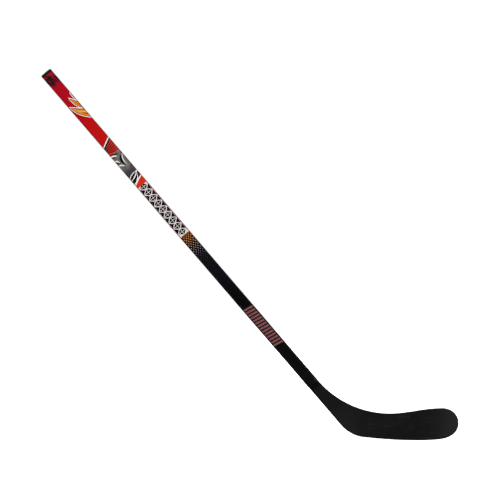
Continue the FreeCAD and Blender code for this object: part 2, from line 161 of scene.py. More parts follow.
# The Mix node keeps a set of sockets for each kind of value; these are its colour ones.
MIX_SHARE = 0
MIX_FIRST = 6
MIX_SECOND = 7
MIX_RESULT = 2


def blend_colour(tree, share, first, second):
    node = add_node(tree, "ShaderNodeMix", data_type="RGBA")
    for index, value in ((MIX_SHARE, share), (MIX_FIRST, first), (MIX_SECOND, second)):
        feed(tree, node.inputs[index], value)
    return node.outputs[MIX_RESULT]


def noise(tree, vector, scale, detail=3.0, roughness=0.55):
    node = add_node(tree, "ShaderNodeTexNoise")
    feed(tree, node.inputs["Vector"], vector)
    feed(tree, node.inputs["Scale"], scale)
    feed(tree, node.inputs["Detail"], detail)
    feed(tree, node.inputs["Roughness"], roughness)
    return node.outputs["Fac"]


def stretch(tree, vector, scale, turn=(0, 0, 0)):
    node = add_node(tree, "ShaderNodeMapping")
    feed(tree, node.inputs["Vector"], vector)
    node.inputs["Scale"].default_value = scale
    node.inputs["Rotation"].default_value = turn
    return node.outputs[0]


def band(tree, value, low, high, to_low=0.0, to_high=1.0):
    """Turn low..high into to_low..to_high, smoothly and no further."""
    node = add_node(tree, "ShaderNodeMapRange", interpolation_type="SMOOTHSTEP")
    for socket, number in zip(node.inputs[:5], (value, low, high, to_low, to_high)):
        feed(tree, socket, number)
    return node.outputs[0]


def ramp(tree, value, stops):
    """A colour for each value: stops are (value from 0 to 1, colour)."""
    node = add_node(tree, "ShaderNodeValToRGB")
    elements = node.color_ramp.elements
    while len(elements) < len(stops):
        elements.new(0.5)
    for element, (place, tint) in zip(elements, stops):
        element.position = place
        element.color = tint
    feed(tree, node.inputs[0], value)
    return node.outputs[0]


def colour(red, green, blue):
    """A colour given as the eye reads it, 0 to 255, as the linear light that nodes work in."""
    def linear(channel):
        share = channel / 255
        return share / 12.92 if share <= 0.04045 else ((share + 0.055) / 1.055) ** 2.4
    return (linear(red), linear(green), linear(blue), 1.0)


def split(tree, place):
    """The three numbers of a place."""
    parts = add_node(tree, "ShaderNodeSeparateXYZ")
    feed(tree, parts.inputs[0], place)
    return parts.outputs


# %% [markdown]
# The floor and the world are plain. The lamps alone would leave the floor grey and uneven, so it glows for
# the camera and stays dull for everything else. The world does the same.

# %% World and floor
FLOOR_HALF = 40
SKY_GREY = 0.05
FLOOR_GLOW = 1.15
FLOOR_ROUGHNESS = 0.9
FLOOR_GRAIN = 30
white = colour(255, 255, 255)
floor_shade = colour(70, 70, 70)


def seen_by_camera(tree):
    return add_node(tree, "ShaderNodeLightPath").outputs["Is Camera Ray"]


world = bpy.data.worlds.new("studio")
world.use_nodes = True
bpy.context.scene.world = world
background = world.node_tree.nodes["Background"]
feed(world.node_tree, background.inputs["Color"], white)
feed(world.node_tree, background.inputs["Strength"],
     band(world.node_tree, seen_by_camera(world.node_tree), 0, 1, SKY_GREY, 1.0))

floor_material = bpy.data.materials.new("pale_floor")
floor_material.use_nodes = True
tree = floor_material.node_tree
floor_shader = tree.nodes["Principled BSDF"]
camera_ray = seen_by_camera(tree)
floor_shader.inputs["Roughness"].default_value = FLOOR_ROUGHNESS
floor_shader.inputs["Specular IOR Level"].default_value = 0.0
grain = noise(tree, add_node(tree, "ShaderNodeTexCoord").outputs["Object"], FLOOR_GRAIN)
pale = ramp(tree, grain, ((0.3, colour(236, 236, 236)), (0.7, colour(240, 240, 240))))
feed(tree, floor_shader.inputs["Base Color"], blend_colour(tree, camera_ray, floor_shade, pale))
feed(tree, floor_shader.inputs["Emission Color"], pale)
feed(tree, floor_shader.inputs["Emission Strength"], maths(tree, "MULTIPLY", camera_ray, FLOOR_GLOW))

floor_mesh = bpy.data.meshes.new("floor")
floor_corners = [(x * FLOOR_HALF, y * FLOOR_HALF, 0) for x, y in ((-1, -1), (1, -1), (1, 1), (-1, 1))]
floor_mesh.from_pydata(floor_corners, [], [(0, 1, 2, 3)])
floor_mesh.materials.append(floor_material)
floor = bpy.data.objects.new("floor", floor_mesh)
bpy.context.scene.collection.objects.link(floor)
print(f"floor {2 * FLOOR_HALF} m wide, world {SKY_GREY} of its brightness to all but the camera")


# %% [markdown]
# A long glossy thing wants a few large soft lamps. Small lamps would leave hard sparks on the clear coat, so
# each lamp is a wide rectangle. Three light the front and top, and two light the back.

# %% Softboxes
def softbox(name, place, width, height, power):
    """A rectangular lamp that faces the middle of the stick; lengths are in metres, power in watts."""
    data = bpy.data.lights.new(name, "AREA")
    data.shape = "RECTANGLE"
    data.size = width
    data.size_y = height
    data.energy = power
    lamp = bpy.data.objects.new(name, data)
    lamp.location = aim + Vector(place)
    lamp.rotation_euler = (-Vector(place)).to_track_quat("-Z", "Y").to_euler()
    bpy.context.scene.collection.objects.link(lamp)


SOFTBOXES = {
    "key_left": ((-2.0, -2.0, 2.2), 1.6, 1.8, 135),
    "fill_right": ((2.4, -2.0, -0.05), 1.4, 0.5, 36),
    "top_strip": ((-0.5, 0.2, 2.4), 2.2, 0.8, 16),
    "back_left": ((-1.7, 2.2, 2.0), 1.4, 1.8, 120),
    "back_right": ((2.6, 2.2, 0.2), 1.0, 1.0, 24),
}
for name, settings in SOFTBOXES.items():
    softbox(name, *settings)
print(f"{len(SOFTBOXES)} softboxes")
bpy.context.scene.view_settings.view_transform = "Standard"


# %% [markdown]
# ## Shared effects
# Each effect that several finishes need is one node group with named inputs and outputs. A group never holds
# a shader: it returns a mask, a height or a colour that a material then feeds to its own shader.

# %% A builder for node groups
def node_group(name, inputs, outputs, wire):
    """Make a group from lists of (name, kind, default) and a function that wires its inside."""
    group = bpy.data.node_groups.new(name, "ShaderNodeTree")
    for label, kind, value in inputs:
        socket = group.interface.new_socket(label, in_out="INPUT", socket_type=kind)
        if value is not None:
            socket.default_value = value
    for label, kind in outputs:
        group.interface.new_socket(label, in_out="OUTPUT", socket_type=kind)
    start = add_node(group, "NodeGroupInput")
    end = add_node(group, "NodeGroupOutput")
    wire(group, start.outputs, end.inputs)
    print(f"{name}: {len(group.nodes)} nodes")
    return group


def use_group(tree, group, **values):
    """Put a group in a material; each value is given by its input's name with _ for a space."""
    node = add_node(tree, "ShaderNodeGroup", node_tree=group)
    for name, value in values.items():
        feed(tree, node.inputs[name.replace("_", " ")], value)
    return node.outputs


FLOAT, VECTOR, COLOUR = "NodeSocketFloat", "NodeSocketVector", "NodeSocketColor"


# %% [markdown]
# Printed ink is never one flat tone: the film takes it unevenly, with a fine tooth and slow cloudy drifts.
# An image could hold that, but noise in the piece's own space needs no unwrapping and never repeats.

# %% Ink tooth
def wire_ink(tree, given, result):
    tooth = noise(tree, given["Place"], 1400, 2)
    cloud = noise(tree, stretch(tree, given["Place"], (1, 1, 0.25)), 70, 3)
    tone = maths(tree, "ADD", maths(tree, "MULTIPLY", maths(tree, "SUBTRACT", tooth, 0.5), 0.7),
                 maths(tree, "SUBTRACT", cloud, 0.5))
    strength = maths(tree, "ADD", maths(tree, "MULTIPLY", tone, given["Strength"]), 1.0)
    scaled = add_node(tree, "ShaderNodeVectorMath", operation="SCALE")
    feed(tree, scaled.inputs[0], given["Ink"])
    feed(tree, scaled.inputs["Scale"], strength)
    tree.links.new(scaled.outputs[0], result["Ink"])


ink_tooth = node_group("ink_tooth",
                       [("Place", VECTOR, None), ("Ink", COLOUR, white), ("Strength", FLOAT, 0.3)],
                       [("Ink", COLOUR)], wire_ink)


# %% [markdown]
# A clear coat flows a little before it sets, and hands and boards then leave hairlines along the shaft. Both
# are far finer than a mesh should be, so the ripple is a height for a bump. The hairlines are noise stretched
# along the shaft, kept to a few patches.

# %% Coat ripple and hairlines
def wire_coat(tree, given, result):
    ripple = noise(tree, stretch(tree, given["Place"], (1, 1, 0.4)), 260, 2)
    line_noise = noise(tree, stretch(tree, given["Place"], (1, 1, 0.02), (0.02, 0.03, 0)), 2600, 1)
    hairline = band(tree, line_noise, 0.66, 0.74)
    patch = band(tree, noise(tree, given["Place"], 14, 2), 0.45, 0.62)
    scratch = maths(tree, "MULTIPLY", maths(tree, "MULTIPLY", hairline, patch), given["Wear"])
    tree.links.new(maths(tree, "SUBTRACT", ripple, scratch), result["Height"])
    tree.links.new(scratch, result["Scratch"])


coat_surface = node_group("coat_surface", [("Place", VECTOR, None), ("Wear", FLOAT, 0.5)],
                          [("Height", FLOAT), ("Scratch", FLOAT)], wire_coat)


# %% [markdown]
# The shaft's four long corners rub first. Worn edges could be found from the mesh's curvature, but the
# section is known, so the mask just measures how far out in a corner a point lies.

# %% Corner rub
RUB_START = -2.6
RUB_FULL = -1.0


def wire_corner(tree, given, result):
    x, y, _ = split(tree, given["Place"])
    past_x = maths(tree, "SUBTRACT", maths(tree, "ABSOLUTE", x), given["Half Width"])
    past_y = maths(tree, "SUBTRACT", maths(tree, "ABSOLUTE", y), given["Half Depth"])
    inside = maths(tree, "MULTIPLY", maths(tree, "MINIMUM", past_x, past_y), 1 / MM)
    edge = band(tree, inside, RUB_START, RUB_FULL)
    rub = band(tree, noise(tree, stretch(tree, given["Place"], (1, 1, 0.15)), 420, 4), 0.42, 0.7)
    tree.links.new(maths(tree, "MULTIPLY", edge, rub), result["Mask"])


corner_rub = node_group("corner_rub", [("Place", VECTOR, None), ("Half Width", FLOAT, film_width / 2),
                                       ("Half Depth", FLOAT, film_depth / 2)], [("Mask", FLOAT)], wire_corner)


# %% [markdown]
# Halftone: rows of dots, each second row shifted by half a pitch, whose size says how strong the tone is.
# They could be many small pieces, but as maths on a point's place they stay sharp and cost no mesh. The rows
# run across the wide faces, and past the corner they run across the narrow sides.

# %% Halftone dots
ROW_PITCH = 4.2 * MM
DOT_PITCH = 6.4 * MM
SIDE_MARGIN = 2.2 * MM
DOT_EDGE = 0.04


def wire_dots(tree, given, result):
    x, y, z = split(tree, given["Place"])
    on_side = maths(tree, "GREATER_THAN", maths(tree, "ABSOLUTE", x), film_width / 2 - SIDE_MARGIN)
    across = maths(tree, "ADD", maths(tree, "MULTIPLY", x, maths(tree, "SUBTRACT", 1.0, on_side)),
                   maths(tree, "MULTIPLY", y, on_side))
    row = maths(tree, "DIVIDE", z, given["Row Pitch"])
    shift = maths(tree, "MULTIPLY", maths(tree, "FLOORED_MODULO", maths(tree, "FLOOR", row), 2.0), 0.5)
    column = maths(tree, "ADD", maths(tree, "DIVIDE", across, given["Dot Pitch"]), shift)
    gaps = []
    for value in (row, column):
        gaps.append(maths(tree, "SUBTRACT", maths(tree, "FRACT", value), 0.5))
    gaps[0] = maths(tree, "MULTIPLY", gaps[0], maths(tree, "DIVIDE", given["Row Pitch"], given["Dot Pitch"]))
    squares = [maths(tree, "MULTIPLY", gap, gap) for gap in gaps]
    distance = maths(tree, "SQRT", maths(tree, "ADD", squares[0], squares[1]))
    past_edge = maths(tree, "SUBTRACT", distance, given["Size"])
    tree.links.new(band(tree, past_edge, -DOT_EDGE, DOT_EDGE, 1.0, 0.0), result["Mask"])


halftone_dots = node_group("halftone_dots", [("Place", VECTOR, None), ("Row Pitch", FLOAT, ROW_PITCH),
                                             ("Dot Pitch", FLOAT, DOT_PITCH), ("Size", FLOAT, 0.4)],
                           [("Mask", FLOAT)], wire_dots)


# %% [markdown]
# Laminates show their cloth: two crossing sets of fine bands, with each tow a little higher at its middle.
# Two wave textures multiplied together give that, which is far simpler than real threads.

# %% Cloth weave
def wire_weave(tree, given, result):
    turned = stretch(tree, given["Place"], (1, 1, 1), (0, math.radians(45), 0))
    waves = []
    for axis in ("X", "Z"):
        wave = add_node(tree, "ShaderNodeTexWave", wave_type="BANDS", bands_direction=axis)
        feed(tree, wave.inputs["Vector"], turned)
        feed(tree, wave.inputs["Scale"], given["Tows"])
        feed(tree, wave.inputs["Distortion"], 0.6)
        feed(tree, wave.inputs["Detail Scale"], 2.0)
        waves.append(wave.outputs["Fac"])
    tree.links.new(maths(tree, "MULTIPLY", waves[0], waves[1]), result["Height"])
    fibre = noise(tree, stretch(tree, turned, (1, 1, 0.05)), 3000, 2)
    tree.links.new(fibre, result["Fibre"])


cloth_weave = node_group("cloth_weave", [("Place", VECTOR, None), ("Tows", FLOAT, 60.0)],
                         [("Height", FLOAT), ("Fibre", FLOAT)], wire_weave)


# %% [markdown]
# Matt paint holds a fine texture, and dust and puck marks leave paler, softer patches on it. Noise stretched
# along the blade makes the streaks, and slow noise decides where they show.

# %% Matt paint texture
def wire_matt(tree, given, result):
    tree.links.new(noise(tree, given["Place"], 2200, 3), result["Height"])
    streak = noise(tree, stretch(tree, given["Place"], (0.12, 1, 1), (0, -0.1, 0)), 180, 4)
    cloud = noise(tree, given["Place"], 26, 4, 0.6)
    rub = maths(tree, "MULTIPLY", band(tree, streak, 0.5, 0.75), band(tree, cloud, 0.42, 0.68))
    tree.links.new(rub, result["Rub"])
    tree.links.new(cloud, result["Cloud"])


matt_texture = node_group("matt_texture", [("Place", VECTOR, None)],
                          [("Height", FLOAT), ("Rub", FLOAT), ("Cloud", FLOAT)], wire_matt)


# %% [markdown]
# ## Finishes
# A gloss film finish is an ink under a clear coat. The ink changes from piece to piece and the coat stays the
# same, so one function makes them all from a small function that wires the ink.

# %% A new material
def new_material(name):
    """A material with its tree and the piece's own coordinates."""
    material = bpy.data.materials.new(name)
    material.use_nodes = True
    place = add_node(material.node_tree, "ShaderNodeTexCoord").outputs["Object"]
    return material, material.node_tree, place


def dress(material, base, rough, relief, **values):
    """Give a shader its colour, its roughness, a relief of (height, distance, strength) and plain values."""
    tree = material.node_tree
    shader = tree.nodes["Principled BSDF"]
    feed(tree, shader.inputs["Base Color"], base)
    feed(tree, shader.inputs["Roughness"], rough)
    for name, value in values.items():
        shader.inputs[name.replace("_", " ")].default_value = value
    bump = add_node(tree, "ShaderNodeBump")
    for name, value in zip(("Height", "Distance", "Strength"), relief):
        feed(tree, bump.inputs[name], value)
    tree.links.new(bump.outputs["Normal"], shader.inputs["Normal"])
    print(f"{material.name}: {len(tree.nodes)} nodes")
    return material


def height_along(tree, place):
    """How far below the butt end a point of a shaft piece lies, in mm."""
    return maths(tree, "MULTIPLY", split(tree, place)[2], -1 / MM)


FILM_WEAR = 0.6
FILM_GLOSS = 0.24
RUB_STRENGTH = 0.14
SCRATCH_STRENGTH = 0.12


def film_finish(name, ink, tooth=0.3, rub_ink=colour(190, 180, 176)):
    """Ink under a clear coat; ink is a colour, or a function that wires one."""
    material, tree, place = new_material(name)
    base = ink(tree, place) if callable(ink) else ink
    inked = use_group(tree, ink_tooth, Place=place, Ink=base, Strength=tooth)["Ink"]
    coat = use_group(tree, coat_surface, Place=place, Wear=FILM_WEAR)
    rub = maths(tree, "MULTIPLY", use_group(tree, corner_rub, Place=place)["Mask"], RUB_STRENGTH)
    scratch = maths(tree, "MULTIPLY", coat["Scratch"], SCRATCH_STRENGTH)
    marks = maths(tree, "ADD", rub, scratch, clamp=True)
    return dress(material, blend_colour(tree, marks, inked, rub_ink),
                 band(tree, marks, 0, 0.6, FILM_GLOSS, FILM_GLOSS + 0.3), (coat["Height"], 0.06 * MM, 0.35),
                 Specular_IOR_Level=0.3, Coat_Weight=0.3, Coat_Roughness=0.08)


# %% [markdown]
# The print runs from one zone to the next down the shaft. Each zone's ends are shares of the film's length,
# so the print would stretch with a longer stick.

# %% Zones of the print
film_length = film_bottom - film_top


def at(share):
    return film_top + share * film_length


ZONE_ENDS = {"red": (0.0, 0.260), "grey": (0.260, 0.365), "white": (0.365, 0.534), "dots": (0.534, 0.641),
             "dark": (0.641, 1.0)}
zones = {name: (at(first), at(last)) for name, (first, last) in ZONE_ENDS.items()}
for name, (first, last) in zones.items():
    print(f"{name}: {first / MM:.0f} to {last / MM:.0f} mm below the butt end")


# %% [markdown]
# Each zone's ground is an ink that changes down the shaft. It could be a painted strip, but a ramp fed by the
# distance from the butt end does the same with a few colours, and follows the zones' sizes.

# %% Inks of the zones
SMOKE_FADE = (26, 46)
GREY_FADE = (58, 36)
BLACK_DOT_SIZE = 0.3


def red_ink(tree, place):
    down = height_along(tree, place)
    run = ramp(tree, band(tree, down, film_top / MM, zones["red"][1] / MM),
               ((0.0, colour(166, 2, 24)), (0.55, colour(180, 3, 16)), (1.0, colour(196, 17, 9))))
    smoke = noise(tree, stretch(tree, place, (1, 1, 0.35)), 130, 4)
    near_cap = band(tree, down, *SMOKE_FADE, 1.0, 0.0)
    tint = maths(tree, "MULTIPLY", band(tree, smoke, 0.4, 0.58), near_cap)
    return blend_colour(tree, tint, run, colour(70, 3, 36))


def grey_ink(tree, place):
    down = height_along(tree, place)
    dark_end = band(tree, down, *(zones["grey"][1] / MM - before for before in GREY_FADE))
    cloud = noise(tree, place, 160, 3)
    grey = ramp(tree, cloud, ((0.35, colour(98, 94, 92)), (0.65, colour(134, 130, 126))))
    return blend_colour(tree, dark_end, grey, colour(62, 60, 64))


def along_zone(tree, place, zone):
    """0 at a zone's upper end and 1 at its lower end."""
    return band(tree, height_along(tree, place), *(end / MM for end in zones[zone]))


def dots_ink(tree, place):
    """Pale dots that fade down the zone, on a ground with black dots of its own half a row further on."""
    along = along_zone(tree, place, "dots")
    dot = ramp(tree, along,
               ((0.0, colour(240, 190, 116)), (0.25, colour(226, 196, 160)), (0.45, colour(168, 158, 172)),
                (0.7, colour(74, 70, 92)), (1.0, colour(34, 32, 46))))
    between = ramp(tree, along,
                   ((0.0, colour(132, 52, 16)), (0.14, colour(82, 30, 13)), (0.28, colour(18, 10, 12)),
                    (1.0, colour(12, 11, 17))))
    sizes = ((0.0, 0.14), (0.4, 0.15), (1.0, 0.11))
    size = ramp(tree, along, [(share, (radius, radius, radius, 1)) for share, radius in sizes])
    pale_dots = use_group(tree, halftone_dots, Place=place, Size=size)["Mask"]
    next_row = add_node(tree, "ShaderNodeVectorMath", operation="ADD")
    feed(tree, next_row.inputs[0], place)
    next_row.inputs[1].default_value = (0, 0, ROW_PITCH)
    black_dots = use_group(tree, halftone_dots, Place=next_row.outputs[0], Size=BLACK_DOT_SIZE)["Mask"]
    ground = blend_colour(tree, black_dots, between, colour(12, 9, 11))
    return blend_colour(tree, pale_dots, ground, dot)


def dark_ink(tree, place):
    return ramp(tree, along_zone(tree, place, "dark"),
                ((0.0, colour(14, 13, 20)), (0.12, colour(5, 6, 9)), (0.3, colour(6, 6, 10)),
                 (0.4, colour(24, 20, 34)), (0.68, colour(20, 17, 28)), (0.8, colour(9, 8, 11)),
                 (1.0, colour(7, 7, 9))))


red_film = film_finish("red_film", red_ink, 0.24)
grey_film = film_finish("grey_film", grey_ink, 0.25)
white_film = film_finish("white_film", colour(242, 230, 228), 0.1)
dots_film = film_finish("dots_film", dots_ink, 0.25)
dark_film = film_finish("dark_film", dark_ink, 0.5, rub_ink=colour(96, 94, 100))

black_ink = film_finish("black_ink", colour(14, 11, 13), 0.4, rub_ink=colour(110, 104, 104))
white_ink = film_finish("white_ink", colour(250, 247, 243), 0.1)
orange_ink = film_finish("orange_ink", colour(232, 128, 16), 0.25)
pale_orange_ink = film_finish("pale_orange_ink", colour(228, 168, 66), 0.25)
deep_red_ink = film_finish("deep_red_ink", colour(140, 8, 22), 0.25)
fiery_ink = film_finish("fiery_ink", colour(212, 50, 18), 0.25)
smoke_ink = film_finish("smoke_ink", colour(74, 71, 74), 0.25)
rose_ink = film_finish("rose_ink", colour(168, 62, 88), 0.2)
plum_ink = film_finish("plum_ink", colour(58, 6, 30), 0.3)


# %% [markdown]
# The rest are plain materials of the trade: moulded plastic, matt paint, cloth laminate, foam, glue and foil.
# In each, one noise or weave drives the colour and the roughness together, as they change together on a real
# part.

# %% Cap plastic
def moulded_plastic(name):
    material, tree, place = new_material(name)
    cloud = noise(tree, place, 120, 3)
    return dress(material, ramp(tree, cloud, ((0.3, colour(4, 3, 4)), (0.7, colour(9, 8, 9)))),
                 band(tree, cloud, 0.3, 0.7, 0.42, 0.56), (noise(tree, place, 2400, 3), 0.12 * MM, 0.5),
                 Specular_IOR_Level=0.15)


# %% Joint wrap
def satin_wrap(name):
    material, tree, place = new_material(name)
    ribs = add_node(tree, "ShaderNodeTexWave", wave_type="BANDS", bands_direction="Z")
    feed(tree, ribs.inputs["Vector"], place)
    feed(tree, ribs.inputs["Scale"], 260)
    feed(tree, ribs.inputs["Distortion"], 0.8)
    cloud = noise(tree, place, 90, 3)
    return dress(material, ramp(tree, cloud, ((0.3, colour(6, 6, 8)), (0.7, colour(11, 10, 13)))),
                 band(tree, cloud, 0.3, 0.7, 0.3, 0.4), (ribs.outputs["Fac"], 0.05 * MM, 0.3),
                 Specular_IOR_Level=0.25)


# %% [markdown]
# The blade and hosel are one moulding. The hosel's top is under the shaft's gloss coat, and below a line
# square to the shaft the paint is matt. The heel and the toe are painted paler: a painted sheen for the lamps'
# reflection on their curved faces.

# %% Blade paint
GLOSS_END = 158 * MM
GLOSS_EDGE = 0.4 * MM
TOE_SHEEN = 75 * MM
HEEL_SHEEN = (-165 * MM, -105 * MM)
HEEL_SHEEN_RISE = (40 * MM, 90 * MM)
axis_foot = butt - up * (butt.z / up.z)


def blade_paint(name, pale, dark):
    """Matt paint with a gloss top; pale and dark are the paint's two ends of tone."""
    material, tree, place = new_material(name)
    texture = use_group(tree, matt_texture, Place=place)
    weave = use_group(tree, cloth_weave, Place=place, Tows=70.0)
    tone = ramp(tree, texture["Cloud"], ((0.3, dark), (0.7, pale)))
    x, _, z = split(tree, place)
    # Paler towards the toe and the low heel: painted sheen for the lamps' reflection on the blade's curved
    # faces.
    toe_sheen = band(tree, x, cad_high.x - TOE_SHEEN, cad_high.x)
    heel_sheen = maths(tree, "MULTIPLY", band(tree, x, *HEEL_SHEEN, 0.45, 0.0),
                      band(tree, z, *HEEL_SHEEN_RISE, 1.0, 0.0))
    sheened = blend_colour(tree, maths(tree, "MAXIMUM", toe_sheen, heel_sheen), tone, colour(36, 36, 36))
    rubbed = blend_colour(tree, maths(tree, "MULTIPLY", texture["Rub"], 0.4), sheened, colour(60, 59, 58))
    dot = add_node(tree, "ShaderNodeVectorMath", operation="DOT_PRODUCT")
    feed(tree, dot.inputs[0], place)
    dot.inputs[1].default_value = up
    line = axis_foot.dot(up) + GLOSS_END
    gloss = band(tree, dot.outputs["Value"], line - GLOSS_EDGE, line + GLOSS_EDGE)
    rough = maths(tree, "ADD", band(tree, texture["Cloud"], 0.3, 0.7, 0.52, 0.64),
                  maths(tree, "MULTIPLY", gloss, -0.3))
    height = maths(tree, "ADD", texture["Height"], maths(tree, "MULTIPLY", weave["Height"], 1.4))
    matt_share = maths(tree, "SUBTRACT", 1.0, maths(tree, "MULTIPLY", gloss, 0.8))
    return dress(material, blend_colour(tree, gloss, rubbed, colour(12, 12, 14)), rough,
                 (maths(tree, "MULTIPLY", height, matt_share), 0.15 * MM, 0.4), Specular_IOR_Level=0.18)


# %% Laminate, foam, glue and foil
def laminate(name, pale, dark, rough):
    material, tree, place = new_material(name)
    weave = use_group(tree, cloth_weave, Place=place, Tows=45.0)
    share = maths(tree, "MULTIPLY", weave["Height"], weave["Fibre"])
    return dress(material, ramp(tree, share, ((0.1, dark), (0.6, pale))),
                 band(tree, share, 0.0, 0.6, rough, rough + 0.2), (weave["Height"], 0.2 * MM, 0.5))


def foam(name):
    material, tree, place = new_material(name)
    cells = add_node(tree, "ShaderNodeTexVoronoi")
    feed(tree, cells.inputs["Vector"], place)
    feed(tree, cells.inputs["Scale"], 1100)
    depth = cells.outputs["Distance"]
    return dress(material, ramp(tree, depth, ((0.1, colour(216, 205, 172)), (0.8, colour(168, 152, 112)))),
                 band(tree, noise(tree, place, 300), 0.3, 0.7, 0.78, 0.92), (depth, 0.4 * MM, 0.8))


def cured_glue(name):
    material, tree, place = new_material(name)
    cloud = noise(tree, place, 220, 4)
    return dress(material, ramp(tree, cloud, ((0.3, colour(150, 118, 62)), (0.7, colour(190, 158, 96)))),
                 band(tree, cloud, 0.3, 0.7, 0.2, 0.4), (cloud, 0.2 * MM, 0.4))


def copper_foil(name):
    material, tree, place = new_material(name)
    streak = noise(tree, stretch(tree, place, (0.15, 1, 1), (0, 0.2, 0)), 1500, 3)
    blotch = noise(tree, place, 420, 4, 0.65)
    tone = ramp(tree, blotch,
                ((0.36, colour(92, 52, 58)), (0.5, colour(158, 96, 96)), (0.68, colour(186, 128, 120))))
    return dress(material, tone, band(tree, blotch, 0.3, 0.7, 0.34, 0.52), (streak, 0.05 * MM, 0.5),
                 Metallic=0.35)


cap_plastic = moulded_plastic("cap_plastic")
wrap_satin = satin_wrap("wrap_satin")
blade_matt = blade_paint("blade_matt", colour(15, 15, 15), colour(7, 7, 8))
# The rims take darker tones than the faces: painted shade for the dark line along the blade's rounded edge.
shaded_rim_paint = blade_paint("shaded_rim_paint", colour(6, 6, 7), colour(2, 2, 3))
tube_laminate = laminate("tube_laminate", colour(44, 44, 46), colour(12, 12, 13), 0.34)
tenon_laminate = laminate("tenon_laminate", colour(56, 52, 46), colour(20, 18, 16), 0.45)
core_foam = foam("core_foam")
clear_glue = cured_glue("clear_glue")
foil = copper_foil("foil")


# %% [markdown]
# ## Shaping pieces
# Every piece of the shaft follows the same rounded section, so rings of points round it are the base of the
# film, the cap and the wrap. They could be swept along a curve, but rings give exact corners and closed
# meshes. Each piece is then named and given its finish, and the design's parts that it replaces are hidden.

# %% Finish a mesh
SMOOTH_LIMIT = math.radians(32)
WELD_DISTANCE = 0.0005 * MM


def make_piece(name, shape, material, replaced=(), matrix=None):
    """Close off a shape: its normals, its smooth and sharp edges, its finish and its place."""
    bmesh.ops.remove_doubles(shape, verts=shape.verts, dist=WELD_DISTANCE)
    bmesh.ops.recalc_face_normals(shape, faces=shape.faces)
    for face in shape.faces:
        face.smooth = True
    for edge in shape.edges:
        edge.smooth = edge.calc_face_angle(math.pi) < SMOOTH_LIMIT
    mesh = bpy.data.meshes.new(name)
    shape.to_mesh(mesh)
    open_edges = sum(not edge.is_manifold for edge in shape.edges)
    shape.free()
    mesh.materials.append(material)
    piece = bpy.data.objects.new(name, mesh)
    bpy.context.scene.collection.objects.link(piece)
    if matrix is not None:
        piece.matrix_world = matrix
    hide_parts(*replaced)
    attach(piece, "root")
    print(f"{name}: {len(mesh.vertices)} points, {open_edges} open edges")
    return piece


# %% Rings round the section
CORNER_STEPS = 8
ON_FACE = 0.02 * MM


def outer_corner(node, half_wide, half_deep):
    """The corner radius of a shaft piece, from how wide its flat front is."""
    flat = max(abs((vertex.co - butt).dot(upper_side)) for vertex in frame["nodes"][node].data.vertices
               if abs(abs(vertex.co.y) - half_deep) < ON_FACE)
    return half_wide - flat


half_width, half_depth = film_width / 2, film_depth / 2
corner = outer_corner("shaft_print_film", half_width, half_depth)
film_section = (half_width, half_depth, corner)
print(f"the film's corner radius is {corner / MM:.2f} mm")


def ring(half_wide, half_deep, radius, down):
    """One loop of points round the shaft at a distance below the butt end."""
    points = []
    for quarter, (x, y) in enumerate(((1, 1), (-1, 1), (-1, -1), (1, -1))):
        for step in range(CORNER_STEPS + 1):
            angle = (quarter + step / CORNER_STEPS) * math.pi / 2
            points.append((x * (half_wide - radius) + radius * math.cos(angle),
                           y * (half_deep - radius) + radius * math.sin(angle), -down))
    return points


def inner_ring(section, inset, down):
    """A ring inside a section of (half width, half depth, corner radius) by the same distance all round."""
    return ring(*(size - inset for size in section), down)


def lofted(rings, around=False):
    """Join rings into a closed shape; around joins the last to the first instead of filling the ends."""
    shape = bmesh.new()
    loops = [[shape.verts.new(point) for point in points] for points in rings]
    pairs = list(zip(loops, loops[1:]))
    if around:
        pairs.append((loops[-1], loops[0]))
    for first, second in pairs:
        for index in range(len(first)):
            following = (index + 1) % len(first)
            shape.faces.new((first[index], first[following], second[following], second[index]))
    if not around:
        shape.faces.new(loops[0])
        shape.faces.new(loops[-1])
    return shape


# %% [markdown]
# ## The printed film
# The film is one sheet on the real shaft. One sleeve with a mask for each zone would do, but its material
# would hold every zone's recipe. So it is built as five short sleeves, end to end, and each keeps its own
# finish and a sharp end.

# %% Film sleeves
FILM_SUNK = 0.10 * MM
FILM_WALL = 0.13 * MM


def sleeve(name, top, bottom, material):
    inside = FILM_SUNK + FILM_WALL
    rings = [inner_ring(film_section, inset, down)
             for inset, down in ((FILM_SUNK, top), (FILM_SUNK, bottom), (inside, bottom), (inside, top))]
    make_piece(name, lofted(rings, around=True), material, ["shaft_print_film"], shaft_frame)


for zone, material in zip(zones, (red_film, grey_film, white_film, dots_film, dark_film)):
    sleeve(f"film_{zone}", *zones[zone], material)

# %% [markdown]
# ## Printed shapes
# A printed shape is a flat drawing on the unrolled film: how far down, and how far round from the middle of
# the front. The drawings of one piece are joined into one, cut at the steps of the section's corners, bent
# round it, given a thickness and mirrored to the back. Each ink lies a few hundredths of a millimetre above
# the one below, so that no two faces share a place. An image could be wrapped round instead, but thin pieces
# stay sharp from near, and each keeps an ink of its own.

# %% Bend a drawing round the film
LAYER_STEP = 0.03 * MM
PRINT_ROOT = 0.02 * MM
INSIDE_ONLY = 1
SAME_POINT = 0.0001 * MM
ON_CUT = 1e-6
ON_JOIN = 0.01 * MM
quarter_way = half_width - corner + corner * math.pi / 2 + half_depth - corner


def bent(around, lift):
    """The across and depth of a point of the unrolled film."""
    side = 1 if around >= 0 else -1
    run = abs(around)
    flat = half_width - corner
    arc = corner * math.pi / 2
    if run <= flat:
        return side * run, -(half_depth + lift)
    if run <= flat + arc:
        angle = (run - flat) / corner
        return (side * (flat + (corner + lift) * math.sin(angle)),
                -(half_depth - corner) - (corner + lift) * math.cos(angle))
    return side * (half_width + lift), -(half_depth - corner) + run - flat - arc


def fold_lines():
    """Where a drawing has to be cut so that it can bend: the steps of the two front corners."""
    flat = half_width - corner
    lines = [flat + corner * math.pi / 2 * step / CORNER_STEPS for step in range(CORNER_STEPS + 1)]
    return lines + [-line for line in lines]


